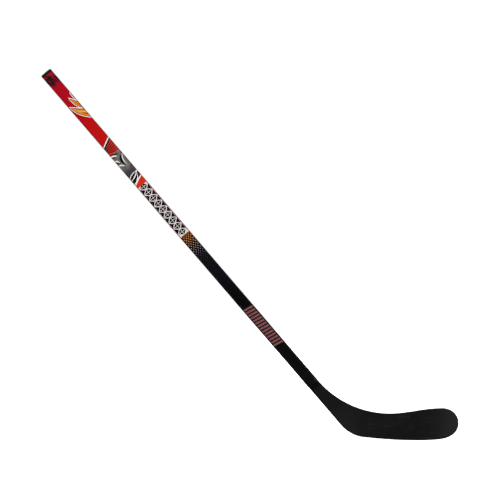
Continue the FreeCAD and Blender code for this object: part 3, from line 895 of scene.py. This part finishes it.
def cut(flat, across, way=1, clear=False):
    """Cut a flat drawing along a line down the film, and clear what lies past it if asked."""
    bmesh.ops.bisect_plane(flat, geom=flat.verts[:] + flat.edges[:] + flat.faces[:], dist=ON_CUT,
                           plane_co=(across, 0, 0), plane_no=(way, 0, 0), clear_outer=clear)


def merged(drawings):
    """Flat triangles for drawings that may overlap, cut at the fold lines and at the middle of the sides."""
    places = []
    outlines = []
    for points in drawings:
        flat_points = [Vector((around, down)) for down, around in points]
        area = sum(here.cross(after) for here, after in zip(flat_points, flat_points[1:] + flat_points[:1]))
        outlines.append(list(range(len(places), len(places) + len(points))))
        places += flat_points if area > 0 else flat_points[::-1]
    places, _, triangles, _, _, sources = delaunay_2d_cdt(places, [], outlines, INSIDE_ONLY, SAME_POINT)
    flat = bmesh.new()
    points = [flat.verts.new((place.x, place.y, 0)) for place in places]
    for triangle, drawings_over_it in zip(triangles, sources):
        if drawings_over_it:
            flat.faces.new([points[index] for index in triangle])
    bmesh.ops.delete(flat, geom=[point for point in points if not point.link_faces], context="VERTS")
    for line in fold_lines():
        cut(flat, line)
    for side in (1, -1):
        cut(flat, side * quarter_way, side, clear=True)
    return flat


def on_join(vertex):
    """Whether a point is at the middle of a narrow side, where the front's drawing meets the back's."""
    return abs(abs(vertex.co.x) - quarter_way) < ON_JOIN


def print_shapes(name, drawings, material, layer, replaced=(), faces=(1, -1)):
    """Print drawings as one piece; layer says how many others lie under it."""
    shape = bmesh.new()
    top = layer * LAYER_STEP - FILM_SUNK
    below = -FILM_SUNK - PRINT_ROOT
    flat = merged(drawings)
    for face_side in faces:
        levels = []
        for lift in (top, below):
            level = {}
            for vertex in flat.verts:
                x, y = bent(vertex.co.x, lift)
                level[vertex] = shape.verts.new((x, y * face_side, -vertex.co.y))
            levels.append(level)
        for face in flat.faces:
            shape.faces.new([levels[0][vertex] for vertex in face.verts])
            shape.faces.new([levels[1][vertex] for vertex in reversed(face.verts)])
        for edge in flat.edges:
            first, second = edge.verts
            if edge.is_boundary and not (on_join(first) and on_join(second)):
                shape.faces.new((levels[0][first], levels[0][second], levels[1][second], levels[1][first]))
    flat.free()
    return make_piece(name, shape, material, replaced, shaft_frame)


# %% Small drawing tools
PAST_EDGE = 1.7
SLANT = 6.45
STROKE_STEPS = 10
BLUNT_TIP = 0.12
TAPER = 0.8


def drawn(start, points):
    """Points given as mm past a start and as a share of the half width, on the unrolled film."""
    return [(start + down * MM, share * half_width) for down, share in points]


def stroke(points, widths):
    """A brush stroke: a band along a line of points, with a width at each of them."""
    left, right = [], []
    for index, (here, width) in enumerate(zip(points, widths)):
        before = Vector(points[max(index - 1, 0)])
        after = Vector(points[min(index + 1, len(points) - 1)])
        ahead = (after - before).normalized()
        beside = Vector((-ahead.y, ahead.x)) * width / 2
        left.append(tuple(Vector(here) + beside))
        right.append(tuple(Vector(here) - beside))
    return left + right[::-1]


def swoosh(start, first, last, bow, width):
    """A tapered stroke between two points that bows to one side by a share of its length."""
    first, last = (Vector(drawn(start, [point])[0]) for point in (first, last))
    beside = Vector((-(last - first).y, (last - first).x))
    points = []
    widths = []
    for step in range(STROKE_STEPS + 1):
        share = step / STROKE_STEPS
        points.append(tuple(first.lerp(last, share) + beside * bow * 4 * share * (1 - share)))
        widths.append((BLUNT_TIP + math.sin(math.pi * share) ** TAPER) * width * MM)
    return stroke(points, widths)


def print_swooshes(name, start, swooshes, ink, layer):
    """Print tapered strokes as one piece; each is (first, last, bow, width)."""
    print_shapes(name, [swoosh(start, *settings) for settings in swooshes], ink, layer)


def slanted(down, width):
    """A band right across the film, further down at the lower side than at the upper one."""
    lean = SLANT * PAST_EDGE
    return drawn(down, [(lean, -PAST_EDGE), (lean + width, -PAST_EDGE),
                        (width - lean, PAST_EDGE), (-lean, PAST_EDGE)])


# %% [markdown]
# Loose dark brush marks lie just below the cap, plum under black. They could be drawn one by one, but such
# marks look looser when chance picks their places, lengths and turns. A fixed seed keeps them the same.

# %% Brush marks by the cap
random.seed(7)
MARK_COUNT = 34
marks = {"black": [], "plum": []}
for index in range(MARK_COUNT):
    down = random.uniform(0.5, 20)
    across = random.uniform(-1.2, 0.8)
    length = random.uniform(7, 18)
    turn = random.uniform(0.35, 0.75)
    kind = "plum" if index % 3 == 2 else "black"
    marks[kind].append(swoosh(film_top, (down, across), (down + length, across + turn),
                              random.uniform(-0.06, 0.06), random.uniform(1.2, 2.2)))
print_shapes("marks_plum", marks["plum"], plum_ink, 1)
print_shapes("marks_black", marks["black"], black_ink, 2)

# %% [markdown]
# A plain flame: three licks come round from the upper narrow side and sweep back to the butt end. The same
# licks are printed four times, each time narrower and in the next ink: white, black, orange, pale orange.
# Two thin deep red licks lie on top. Changing a stroke's width is simpler than moving an outline in and out.

# %% Flame
LICK_STEPS = 14
THINNEST = 0.3
TIP_GROWTH = 1.6


def lick(start, points, width, by=0.0):
    """A lick of flame: a curved stroke that narrows to its tip; by moves its outline out by so many mm."""
    root, bend, tip = (Vector(place) for place in drawn(start, points))
    tip += (tip - bend).normalized() * by * TIP_GROWTH * MM
    line = []
    widths = []
    for step in range(LICK_STEPS + 1):
        share = step / LICK_STEPS
        line.append(tuple(root.lerp(bend, share).lerp(bend.lerp(tip, share), share)))
        widths.append((THINNEST + max(width * (1 - share) ** TAPER + 2 * by * (1 - share ** 4), 0)) * MM)
    return stroke(line, widths)


def print_licks(name, licks, by, ink, layer):
    """Print licks of flame as one piece; each is (points, width)."""
    print_shapes(name, [lick(flame_start, points, width, by) for points, width in licks], ink, layer)


flame_start = at(0.079)
LICKS = [([(60, 1.75), (47, 0.1), (22, -0.66)], 19), ([(40, 1.75), (27, 0.55), (5, 0.2)], 13),
         ([(22, 1.75), (14, 1.15), (-3, 0.92)], 9)]
HEART_LICKS = [([(40, 1.75), (31, 0.9), (19, 0.56)], 3.5), ([(66, 1.75), (54, 0.75), (43, 0.1)], 5)]
print_licks("flame_white", LICKS, 3.4, white_ink, 1)
print_licks("flame_black", LICKS, 1.7, black_ink, 2)
print_licks("flame_orange", LICKS, 0.0, orange_ink, 3)
print_licks("flame_lights", LICKS, -3.4, pale_orange_ink, 4)
print_licks("flame_heart", HEART_LICKS, 0.0, deep_red_ink, 5)

# %% [markdown]
# A slanted border ends the red. A narrow fiery band with fanned lines leads to the grey panel.

# %% Border and fanned lines
BORDER_WHITE = 2.8
BORDER_BELOW = 2.4
BORDER_ABOVE = 1.4
FAN_COUNT = 6
border = at(0.226)


def slanted_ground(start, upper, lower_start, lower_end):
    """A patch of ground whose upper end is slanted and whose lower end is square to the shaft."""
    return drawn(start, [(lower_start, -PAST_EDGE), (lower_end, -PAST_EDGE), (lower_end, PAST_EDGE),
                         (upper, PAST_EDGE)])


print_shapes("fan_ground", [slanted_ground(border, -11, 11, 31)], fiery_ink, 1)
print_shapes("border_white", [slanted(border, BORDER_WHITE)], white_ink, 3)
print_shapes("border_black", [slanted(border + BORDER_WHITE * MM, BORDER_BELOW),
                              slanted(border - BORDER_ABOVE * MM, BORDER_ABOVE)], black_ink, 3)
fan = []
for index in range(FAN_COUNT):
    spread = index / (FAN_COUNT - 1)
    fan.append(((17 + 3 * spread, -1.5), (-1 + 31 * spread, 1.6), 0.05 - 0.1 * spread, 2.0))
print_swooshes("fan_lines", border, fan, plum_ink, 2)

# %% [markdown]
# The grey panel and the stripes after it are loose tapered strokes. Each could be a curve with a brush, but
# its two ends, how far it bows and how wide it is say all that is needed.

# %% Grey panel
panel = zones["grey"][0]
PANEL_WHITE = [((4, -1.3), (11, -0.1), 0.16, 3.0), ((17, -1.3), (27, -0.45), 0.24, 2.8),
               ((31, -1.2), (40, -0.1), 0.2, 2.2), ((12, 0.95), (38, 0.35), -0.13, 1.6)]
PANEL_BLACK = [((1, -1.4), (8, 0.35), 0.1, 3.0), ((7, -1.3), (13, -0.4), 0.2, 2.4),
               ((22, -1.2), (30, -0.5), 0.22, 2.4), ((11, 0.66), (38, 0.1), -0.16, 4.6),
               ((1, 1.5), (12, 0.9), -0.1, 2.4), ((38, 1.4), (50, 0.3), 0.1, 1.6)]
PANEL_SMOKE = [((14, 1.3), (40, 0.8), -0.1, 2.4), ((28, -0.1), (44, -0.5), 0.2, 2.0)]
print_swooshes("panel_white", panel, PANEL_WHITE, white_ink, 3)
print_swooshes("panel_black", panel, PANEL_BLACK, black_ink, 2)
print_swooshes("panel_smoke", panel, PANEL_SMOKE, smoke_ink, 1)

# %% Stripes and the patch after them
STRIPES_BELOW_PANEL_TOP = 63 * MM
GROUND_START = 3 * MM
GROUND_WIDTH = 20
BANDS = [((12, -1.5), (-8, 1.3), -0.16, 2.2), ((13, -1.5), (4, 1.5), 0.18, 1.9),
         ((24, -1.5), (6, 0.7), -0.14, 2.0), ((31, -1.6), (13, 1.6), 0.05, 2.6)]
GREYS = [((19, -1.5), (4, 1.5), 0.08, 1.6), ((26, -1.3), (11, 1.4), -0.08, 1.5)]
stripes = panel + STRIPES_BELOW_PANEL_TOP
print_shapes("stripe_ground", [slanted(stripes + GROUND_START, GROUND_WIDTH)], black_ink, 1)
print_swooshes("stripe_bands", stripes, BANDS, white_ink, 4)
print_swooshes("stripe_greys", stripes, GREYS, smoke_ink, 2)
print_shapes("patch_red", [slanted_ground(stripes, 7, 29, 34)], fiery_ink, 3)

# %% [markdown]
# ## The harlequin block
# A white ground carries a row of black lozenges, quartered by thin white lines, and black teeth between them.
# A zigzag, a rose and a plum line run along both of its edges, and small diamonds down both narrow sides.

# %% Harlequin block
block_top, block_bottom = zones["white"]
CELLS = 9
QUARTER_LINE = 0.9
ARM = (0.04, 0.78)
cell_pitch = (block_bottom - block_top) / CELLS
LOZENGE = [(-8.2, 0), (0, -0.76), (8.2, 0), (0, 0.76)]
TOOTH = [(-7.4, 0.86), (0, 0.22), (7.4, 0.86)]


def pinstripe(share, width, top, bottom):
    """A straight line down the film."""
    side = share * half_width
    return [(top, side - width * MM / 2), (bottom, side - width * MM / 2),
            (bottom, side + width * MM / 2), (top, side + width * MM / 2)]


cells = {"lozenges": [], "slits": [pinstripe(0, QUARTER_LINE, block_top, block_bottom)], "teeth": []}
for index in range(CELLS):
    middle = block_top + (index + 0.5) * cell_pitch
    cells["lozenges"].append(drawn(middle, LOZENGE))
    for side in (1, -1):
        arm = drawn(middle, [(0, share * side) for share in ARM])
        cells["slits"].append(stroke(arm, [QUARTER_LINE * MM] * 2))
        if index:
            turned = [(down, side * share) for down, share in TOOTH]
            cells["teeth"].append(drawn(middle - cell_pitch / 2, turned))
print_shapes("lozenges", cells["lozenges"], black_ink, 1)
print_shapes("lozenge_slits", cells["slits"], white_ink, 2)
print_shapes("edge_teeth", cells["teeth"], black_ink, 1)


# %% Lines and diamonds along the block
ZIGZAG_SHARE = 0.89
ZIGZAG_TOOTH = 0.03
ZIGZAG_WIDTH = 0.5
ZIGZAG_COUNT = CELLS * 4
ROSE_SHARE = 1.0
ROSE_WIDTH = 1.9
PLUM_SHARE = 1.09
PLUM_WIDTH = 0.7
PLUM_PAST_BLOCK = 30 * MM
SIDE_SHARE = quarter_way / half_width
DIAMOND = [(-3.4, 0), (0, -0.22), (3.4, 0), (0, 0.22)]


def zigzag(side):
    """A zigzag line down the block, near one edge of the wide face."""
    points = []
    for index in range(ZIGZAG_COUNT + 1):
        down = block_top + (block_bottom - block_top) * index / ZIGZAG_COUNT
        tooth = ZIGZAG_TOOTH if index % 2 else -ZIGZAG_TOOTH
        points.append((down, (side * ZIGZAG_SHARE + tooth) * half_width))
    return stroke(points, [ZIGZAG_WIDTH * MM] * len(points))


side_diamonds = []
for index in range(2 * CELLS - 1):
    middle = block_top + (index + 1) * cell_pitch / 2
    for side in (1, -1):
        side_diamonds.append(drawn(middle, [(down, side * SIDE_SHARE + share) for down, share in DIAMOND]))
rose_lines = [pinstripe(side * ROSE_SHARE, ROSE_WIDTH, block_top, block_bottom) for side in (-1, 1)]
plum_lines = [pinstripe(side * PLUM_SHARE, PLUM_WIDTH, film_top, block_bottom + PLUM_PAST_BLOCK)
              for side in (-1, 1)]
print_shapes("zigzags", [zigzag(side) for side in (-1, 1)], plum_ink, 2)
print_shapes("side_diamonds", side_diamonds, plum_ink, 1)
print_shapes("rose_lines", rose_lines, rose_ink, 1)
print_shapes("plum_lines", plum_lines, plum_ink, 6)

# %% [markdown]
# ## The foil row
# Foil is pressed into the film below the print: a plain row of slanted bars, with mottled, rubbed metal. Bars
# in a loop fill whatever length the design gives the label, one row on each wide face.

# %% Foil bars
BAR_COUNT = 14
BAR_WIDTH = 4.6
BAR_SLANT = 4.6
BAR_SHARE = 0.8
bar_pitch = (label_bottom - label_top - BAR_SLANT * MM) / BAR_COUNT
bars = []
for index in range(BAR_COUNT):
    middle = label_top + BAR_SLANT / 2 * MM + (index + 0.5) * bar_pitch
    lean, half = BAR_SLANT / 2, BAR_WIDTH / 2
    bars.append(drawn(middle, [(-lean - half, -BAR_SHARE), (half - lean, -BAR_SHARE),
                               (lean + half, BAR_SHARE), (lean - half, BAR_SHARE)]))
for end, face in (("front", 1), ("back", -1)):
    print_shapes(f"foil_bars_{end}", bars, foil, 2, [f"foil_label_{end}"], faces=(face,))


# %% [markdown]
# ## Butt cap and joint wrap
# The cap is moulded in one piece: a head with a soft rim and a fine groove, and a ribbed spigot that is
# glued inside the shaft. The wrap hides the line where hosel and shaft meet. Both are rings joined one after
# another, so their shapes are short lists of how far down and how far in each ring lies.

# %% Butt cap
def reach(node):
    """Half the width and half the depth of a shaft piece."""
    points = [vertex.co - butt for vertex in frame["nodes"][node].data.vertices]
    return max(abs(point.dot(upper_side)) for point in points), max(abs(point.y) for point in points)


RIM = 2.0 * MM
RIM_STEPS = 6
GROOVE = 0.3 * MM
HEAD_EDGE = 0.2 * MM
HEAD_PROFILE = ((3.6, 0), (3.9, GROOVE), (4.3, GROOVE), (4.6, 0), (7.2, 0), (7.5, HEAD_EDGE))
TUBE_WALL = 2.2 * MM
SPIGOT_GAP = 0.8 * MM
SPIGOT_CORNER = 1.5 * MM
RIB_COUNT = 3
FIRST_RIB = 3 * MM
RIB_PITCH = 5 * MM
RIB_SWELL = 0.7 * MM
RIB_PROFILE = ((0, 0), (0.3 * MM, RIB_SWELL), (1.7 * MM, RIB_SWELL), (2 * MM, 0))
LEAD_IN = 1.0 * MM
LEAD_IN_CORNER = 0.8 * MM
tube_wide, tube_deep = reach("shaft_tube")
cap_section = (*reach("butt_cap"), corner)
cap_end = along_shaft("butt_cap")[1]
spigot_wide, spigot_deep = (half - TUBE_WALL - SPIGOT_GAP for half in (tube_wide, tube_deep))


def spigot_ring(swell, down):
    return ring(spigot_wide + swell, spigot_deep + swell, SPIGOT_CORNER, down)


rings = []
for step in range(RIM_STEPS + 1):
    angle = step / RIM_STEPS * math.pi / 2
    rings.append(inner_ring(cap_section, RIM * (1 - math.sin(angle)), RIM * (1 - math.cos(angle))))
for down, inset in HEAD_PROFILE:
    rings.append(inner_ring(cap_section, inset, down * MM))
rings.append(spigot_ring(0, film_top))
for rib in range(RIB_COUNT):
    for down, swell in RIB_PROFILE:
        rings.append(spigot_ring(swell, film_top + FIRST_RIB + rib * RIB_PITCH + down))
rings.append(spigot_ring(0, cap_end - LEAD_IN))
rings.append(ring(spigot_wide - LEAD_IN, spigot_deep - LEAD_IN, LEAD_IN_CORNER, cap_end))
cap_shape = lofted(rings)
cap_shape.transform(shaft_frame)
make_piece("moulded_cap", cap_shape, cap_plastic, ["butt_cap"])

# %% Joint wrap
WRAP_TAPER = 0.6 * MM
WRAP_END = 0.5
tube_corner = outer_corner("shaft_tube", tube_wide, tube_deep)
tube_section = (tube_wide, tube_deep, tube_corner)
wrap_wall = reach("joint_wrap")[0] - tube_wide
wrap_profile = ((wrap_top, WRAP_END), (wrap_top + WRAP_TAPER, 1), (wrap_bottom - WRAP_TAPER, 1),
                (wrap_bottom, WRAP_END), (wrap_bottom, 0), (wrap_top, 0))
rings = [inner_ring(tube_section, -wrap_wall * wall, down) for down, wall in wrap_profile]
make_piece("wrap_sleeve", lofted(rings, around=True), wrap_satin, ["joint_wrap"], shaft_frame)

# %% [markdown]
# ## The blade
# The blade's outline is drawn as two chains of curves, one along its top from the joint to the toe and one
# along its heel and sole. They follow the design's own lines. Both chains get the same number of stations, so
# that ribs can be laid between them.

# %% The blade's sizes
axis_length = butt.z / up.z
ALONG = Vector((1, 0, 0))
TALL = Vector((0, 0, 1))
TOE_REACH = cad_high.x
TOE_HEIGHT = 73.4 * MM
TOE_CROWN = 59 * MM
TIP_HEIGHT = 40 * MM
FULLNESS = 0.58
SADDLE_HEIGHT = 60.4 * MM
HEEL_RADIUS = 80 * MM
HEEL_LIFT = 4.6 * MM
HEEL_DISTANCE = 95 * MM
TOE_LIFT = 2.6 * MM
TOE_DISTANCE = 50 * MM
CURVE_SETBACK = 70 * MM
CURVE_RADIUS = 1300 * MM
HEEL_HALF = 4.5 * MM
TOE_HALF = 2.8 * MM
neck_low = axis_length - wrap_bottom
neck_top = axis_length - joint
THROAT_GAP = 3 * MM


def on_shaft(height, side):
    """A point at a height along the shaft's axis from the ice, and so far to its upper side."""
    return axis_foot + up * height + upper_side * side


def crossing(first, first_way, second, second_way):
    """Where two lines in the blade's plane cross."""
    gap = second - first
    turn = first_way.x * second_way.z - first_way.z * second_way.x
    return first + first_way * ((gap.x * second_way.z - gap.z * second_way.x) / turn)


# %% Curves for the outline
FINE_COUNT = 120


def line_points(first, last, count=40):
    return [first.lerp(last, step / count) for step in range(count + 1)]


def curve_points(*controls, count=60):
    """A Bezier curve of any degree, by repeated halfway points."""
    points = []
    for step in range(count + 1):
        level = list(controls)
        while len(level) > 1:
            level = [a.lerp(b, step / count) for a, b in zip(level, level[1:])]
        points.append(level[0])
    return points


def arc_points(start, corner_point, end, count=60):
    """The arc that touches both legs of a corner, from one leg to the other."""
    first = (start - corner_point).normalized()
    second = (end - corner_point).normalized()
    half_angle = first.angle(second) / 2
    length = (start - corner_point).length
    radius = length * math.tan(half_angle)
    centre = corner_point + (first + second).normalized() * length / math.cos(half_angle)
    arm, last_arm = start - centre, corner_point + second * length - centre
    return [centre + arm.lerp(last_arm, step / count).normalized() * radius for step in range(count + 1)]


upper_line = on_shaft(0, tube_wide)
lower_line = on_shaft(0, -tube_wide)
throat_corner = crossing(upper_line, up, TALL * SADDLE_HEIGHT, ALONG)
throat_start = on_shaft(neck_low - THROAT_GAP, tube_wide)
throat_end = throat_corner + ALONG * (throat_start - throat_corner).length
crown = Vector((TOE_CROWN, 0, TOE_HEIGHT))
tip = Vector((TOE_REACH, 0, TIP_HEIGHT))
top_handle = ALONG * (crown.x - throat_end.x) / 3
sole_back = Vector((-HEEL_DISTANCE, 0, HEEL_LIFT))
sole_slope = Vector((HEEL_DISTANCE, 0, -2 * HEEL_LIFT)).normalized()
heel_corner = crossing(lower_line, up, sole_back, sole_slope)
heel_leg = HEEL_RADIUS / math.tan(up.angle(sole_slope) / 2)
heel_start = heel_corner + up * heel_leg
heel_end = heel_corner + sole_slope * heel_leg
sole_front = Vector((TOE_DISTANCE, 0, TOE_LIFT))
front_slope = Vector((TOE_DISTANCE, 0, 2 * TOE_LIFT)).normalized()
origin = Vector((0, 0, 0))
print(f"throat ends at x {throat_end.x / MM:.1f} mm, heel arc leaves the shaft at height "
      f"{(heel_start - axis_foot).dot(up) / MM:.1f} mm")


# %% Two chains with matching stations
def evenly(points, count):
    """The same line of points with count equal steps along it."""
    runs = [0.0]
    for before, after in zip(points, points[1:]):
        runs.append(runs[-1] + (after - before).length)
    result = []
    index = 0
    for step in range(count + 1):
        wanted = runs[-1] * step / count
        while index < len(points) - 2 and runs[index + 1] < wanted:
            index += 1
        share = (wanted - runs[index]) / max(runs[index + 1] - runs[index], 1e-12)
        result.append(points[index].lerp(points[index + 1], min(max(share, 0.0), 1.0)))
    return result


STATIONS = (6, 70, 60, 48)
upper_parts = [
    line_points(on_shaft(neck_top, tube_wide), throat_start),
    arc_points(throat_start, throat_corner, throat_end, FINE_COUNT),
    curve_points(throat_end, throat_end + top_handle, crown - top_handle, crown),
    curve_points(crown, crown + ALONG * FULLNESS * (TOE_REACH - TOE_CROWN),
                 tip + TALL * FULLNESS * (TOE_HEIGHT - TIP_HEIGHT), tip, count=FINE_COUNT),
]
throat_foot = on_shaft(neck_low - THROAT_GAP, -tube_wide)
sole_run = (curve_points(sole_back, ALONG * (-HEEL_DISTANCE / 2), origin)
            + curve_points(origin, ALONG * (TOE_DISTANCE / 2), sole_front)[1:])
under_throat = min(range(len(sole_run)), key=lambda index: abs(sole_run[index].x - throat_end.x))
lower_parts = [
    line_points(on_shaft(neck_top, -tube_wide), throat_foot),
    line_points(throat_foot, heel_start) + arc_points(heel_start, heel_corner, heel_end)[1:]
    + line_points(heel_end, sole_back, 8)[1:] + sole_run[1:under_throat + 1],
    sole_run[under_throat:],
    curve_points(sole_front, sole_front + front_slope * FULLNESS * (TOE_REACH - TOE_DISTANCE),
                 tip - TALL * FULLNESS * (TIP_HEIGHT - TOE_LIFT), tip, count=FINE_COUNT),
]


def chain(parts):
    points = [parts[0][0]]
    for part, count in zip(parts, STATIONS):
        points += evenly(part, count)[1:]
    return points


upper_chain = chain(upper_parts)
lower_chain = chain(lower_parts)


def inward(points, side):
    """A unit step into the blade at each point; side is 1 for the lower chain and -1 for the upper."""
    steps = []
    for index in range(len(points)):
        ahead = points[min(index + 1, len(points) - 1)] - points[max(index - 1, 0)]
        steps.append(Vector((-ahead.z, 0, ahead.x)).normalized() * side)
    steps[-1] = -ALONG
    return steps


upper_in = inward(upper_chain, -1)
lower_in = inward(lower_chain, 1)
print(f"blade: {len(upper_chain)} stations, {(upper_chain[-1] - origin).x / MM:.1f} mm to the toe")

# %% [markdown]
# The blade's thickness eases from the shaft's depth at the hosel into a paddle that thins to the toe, and its
# rim is rounded: full like the shaft at the hosel, tight round the paddle.

# %% The blade's surface
RIM_BLADE = 1.6 * MM
ease_start = on_shaft(neck_low, tube_wide).x


def hosel_share(x):
    """1 at the hosel, where the blade is like the shaft, easing to 0 at the paddle."""
    passed = min(1.0, max(0.0, (x - ease_start) / (-HEEL_DISTANCE - ease_start)))
    return (1 - passed) ** 2 * (1 + 2 * passed)


def middle_line(x):
    """How far the blade's middle has curved towards the forehand at a place along it."""
    run = max(0.0, x + CURVE_SETBACK)
    return math.sqrt(CURVE_RADIUS ** 2 - run ** 2) - CURVE_RADIUS


def half_thickness(x, depth):
    """Half of the blade's thickness at a distance in from its outline."""
    forward = max(0.0, (x + HEEL_DISTANCE) / (TOE_REACH + HEEL_DISTANCE))
    paddle = HEEL_HALF + (TOE_HALF - HEEL_HALF) * forward
    half = paddle + (tube_deep - paddle) * hosel_share(x)
    rim = RIM_BLADE + (tube_corner - RIM_BLADE) * hosel_share(x)
    if depth >= rim:
        return half
    return half - rim + math.sqrt(max(rim ** 2 - (rim - depth) ** 2, 0.0))


# %% [markdown]
# Two narrow painted rims run round the blade, one over its top and one down its heel and along its sole, both
# from the joint to the toe. Each one is a rounded bead swept along its chain. Their paint is darker than the
# faces': painted shade for the dark line along the blade's rounded edge.

# %% Rims
SEAM = 2.2 * MM
RIM_REACH = 3.9 * MM
SKIN = 1.0 * MM
BEAD_STEPS = 7


def rim_ring(point, step_in):
    """The section of a rim at one station, from its front seam round the outside to its back seam."""
    radius = RIM_BLADE + (tube_corner - RIM_BLADE) * hosel_share(point.x)
    quarter_turns = [step / BEAD_STEPS * math.pi / 2 for step in range(BEAD_STEPS + 1)]
    depths = [SEAM] + [min(radius, SEAM) * (1 - math.sin(angle)) for angle in quarter_turns]
    corners = ([(depth, -1, 0.0) for depth in depths] + [(depth, 1, 0.0) for depth in reversed(depths)]
               + [(SEAM, 1, SKIN), (RIM_REACH, 1, SKIN), (RIM_REACH, -1, SKIN), (SEAM, -1, SKIN)])
    section = []
    for depth, side, thinner in corners:
        place = point + step_in * depth
        half = half_thickness(place.x, depth) - thinner
        section.append(place + away * (middle_line(place.x) + side * half))
    return section


for edge, points, steps in (("top", upper_chain, upper_in), ("sole", lower_chain, lower_in)):
    rings = [rim_ring(point, step_in) for point, step_in in zip(points, steps)]
    make_piece(f"{edge}_rim", lofted(rings), shaded_rim_paint, [f"{edge}_edge_strip"])

# %% [markdown]
# The two face skins fill the space between the rims. A plain fill of the outline would leave long thin
# triangles, so ribs run from the lower seam to the upper one, with extra points near both seams, where a
# thick rim is still rounding over.

# %% Face skins
NEAR_SEAM = [share * MM for share in (0.0, 0.25, 0.8, 1.4, 2.1, 3.0)]
ACROSS = 12
OUTLINE_STEPS = 8
ON_SEAM = 0.01 * MM
SEAM_DIP = 0.05 * MM
outline = []
for points in (upper_chain, lower_chain):
    for before, after in zip(points, points[1:]):
        outline += [before.lerp(after, step / OUTLINE_STEPS) for step in range(OUTLINE_STEPS)]
outline_tree = KDTree(len(outline))
for index, point in enumerate(outline):
    outline_tree.insert(point, index)
outline_tree.balance()


def rib_places(length):
    """How far along a rib its points lie: close together near both seams, even between them."""
    last = len(NEAR_SEAM) - 1
    ends = NEAR_SEAM
    if length <= 4 * NEAR_SEAM[last]:
        ends = [length / 4 * step / last for step in range(last + 1)]
    inner = [ends[-1] + (length - 2 * ends[-1]) * step / ACROSS for step in range(1, ACROSS)]
    return ends + inner + [length - end for end in reversed(ends)]


def face_grid(side, thinner):
    """Ribs of points on one face of the blade; thinner moves them in towards the core."""
    grid = []
    for upper_point, upper_step, lower_point, lower_step in zip(upper_chain, upper_in, lower_chain, lower_in):
        first = lower_point + lower_step * SEAM
        last = upper_point + upper_step * SEAM
        length = (last - first).length
        row = []
        for distance in rib_places(length):
            place = first.lerp(last, distance / length) if length > 0 else first.copy()
            at_seam = distance < ON_SEAM or distance > length - ON_SEAM
            depth = SEAM if at_seam else max(outline_tree.find(place)[2], SEAM)
            half = half_thickness(place.x, depth) - thinner - (SEAM_DIP if at_seam else 0)
            row.append(place + away * (middle_line(place.x) + side * half))
        grid.append(row)
    return grid


def skin(name, side, replaced):
    shape = bmesh.new()
    levels = [[[shape.verts.new(point) for point in row] for row in face_grid(side, thinner)]
              for thinner in (0.0, SKIN)]
    rows, columns = len(levels[0]), len(levels[0][0])
    for level in levels:
        for row in range(rows - 1):
            for column in range(columns - 1):
                shape.faces.new((level[row][column], level[row + 1][column],
                                 level[row + 1][column + 1], level[row][column + 1]))
    round_edge = ([(0, column) for column in range(columns)] + [(row, columns - 1) for row in range(1, rows)]
                  + [(rows - 1, column) for column in range(columns - 2, -1, -1)]
                  + [(row, 0) for row in range(rows - 2, 0, -1)])
    outer, inner = ([level[row][column] for row, column in round_edge] for level in levels)
    for index in range(len(round_edge)):
        following = (index + 1) % len(round_edge)
        shape.faces.new((outer[index], outer[following], inner[following], inner[index]))
    make_piece(name, shape, blade_matt, [replaced])


for face, side in (("front", -1), ("back", 1)):
    skin(f"skin_{face}", side, f"blade_face_{face}")

# %% [markdown]
# ## Inside the stick
# The tube, its foam plug, the tenon, the glue and the blade's core come from the design as they are. Nobody
# sees them on a whole stick, but each still gets the finish of its own material.

# %% Finishes for the inner parts
INNER = {"shaft_tube": tube_laminate, "cap_adhesive": clear_glue, "tenon_adhesive": clear_glue,
         "foam_dam": core_foam, "hosel_core": core_foam, "blade_core_upper": core_foam,
         "blade_core_lower": core_foam, "blade_tenon": tenon_laminate, "blade_bridge_rib": tenon_laminate}
for name, material in INNER.items():
    node = frame["nodes"][name]
    node.data.materials.clear()
    node.data.materials.append(material)
print(f"{len(INNER)} inner parts dressed")
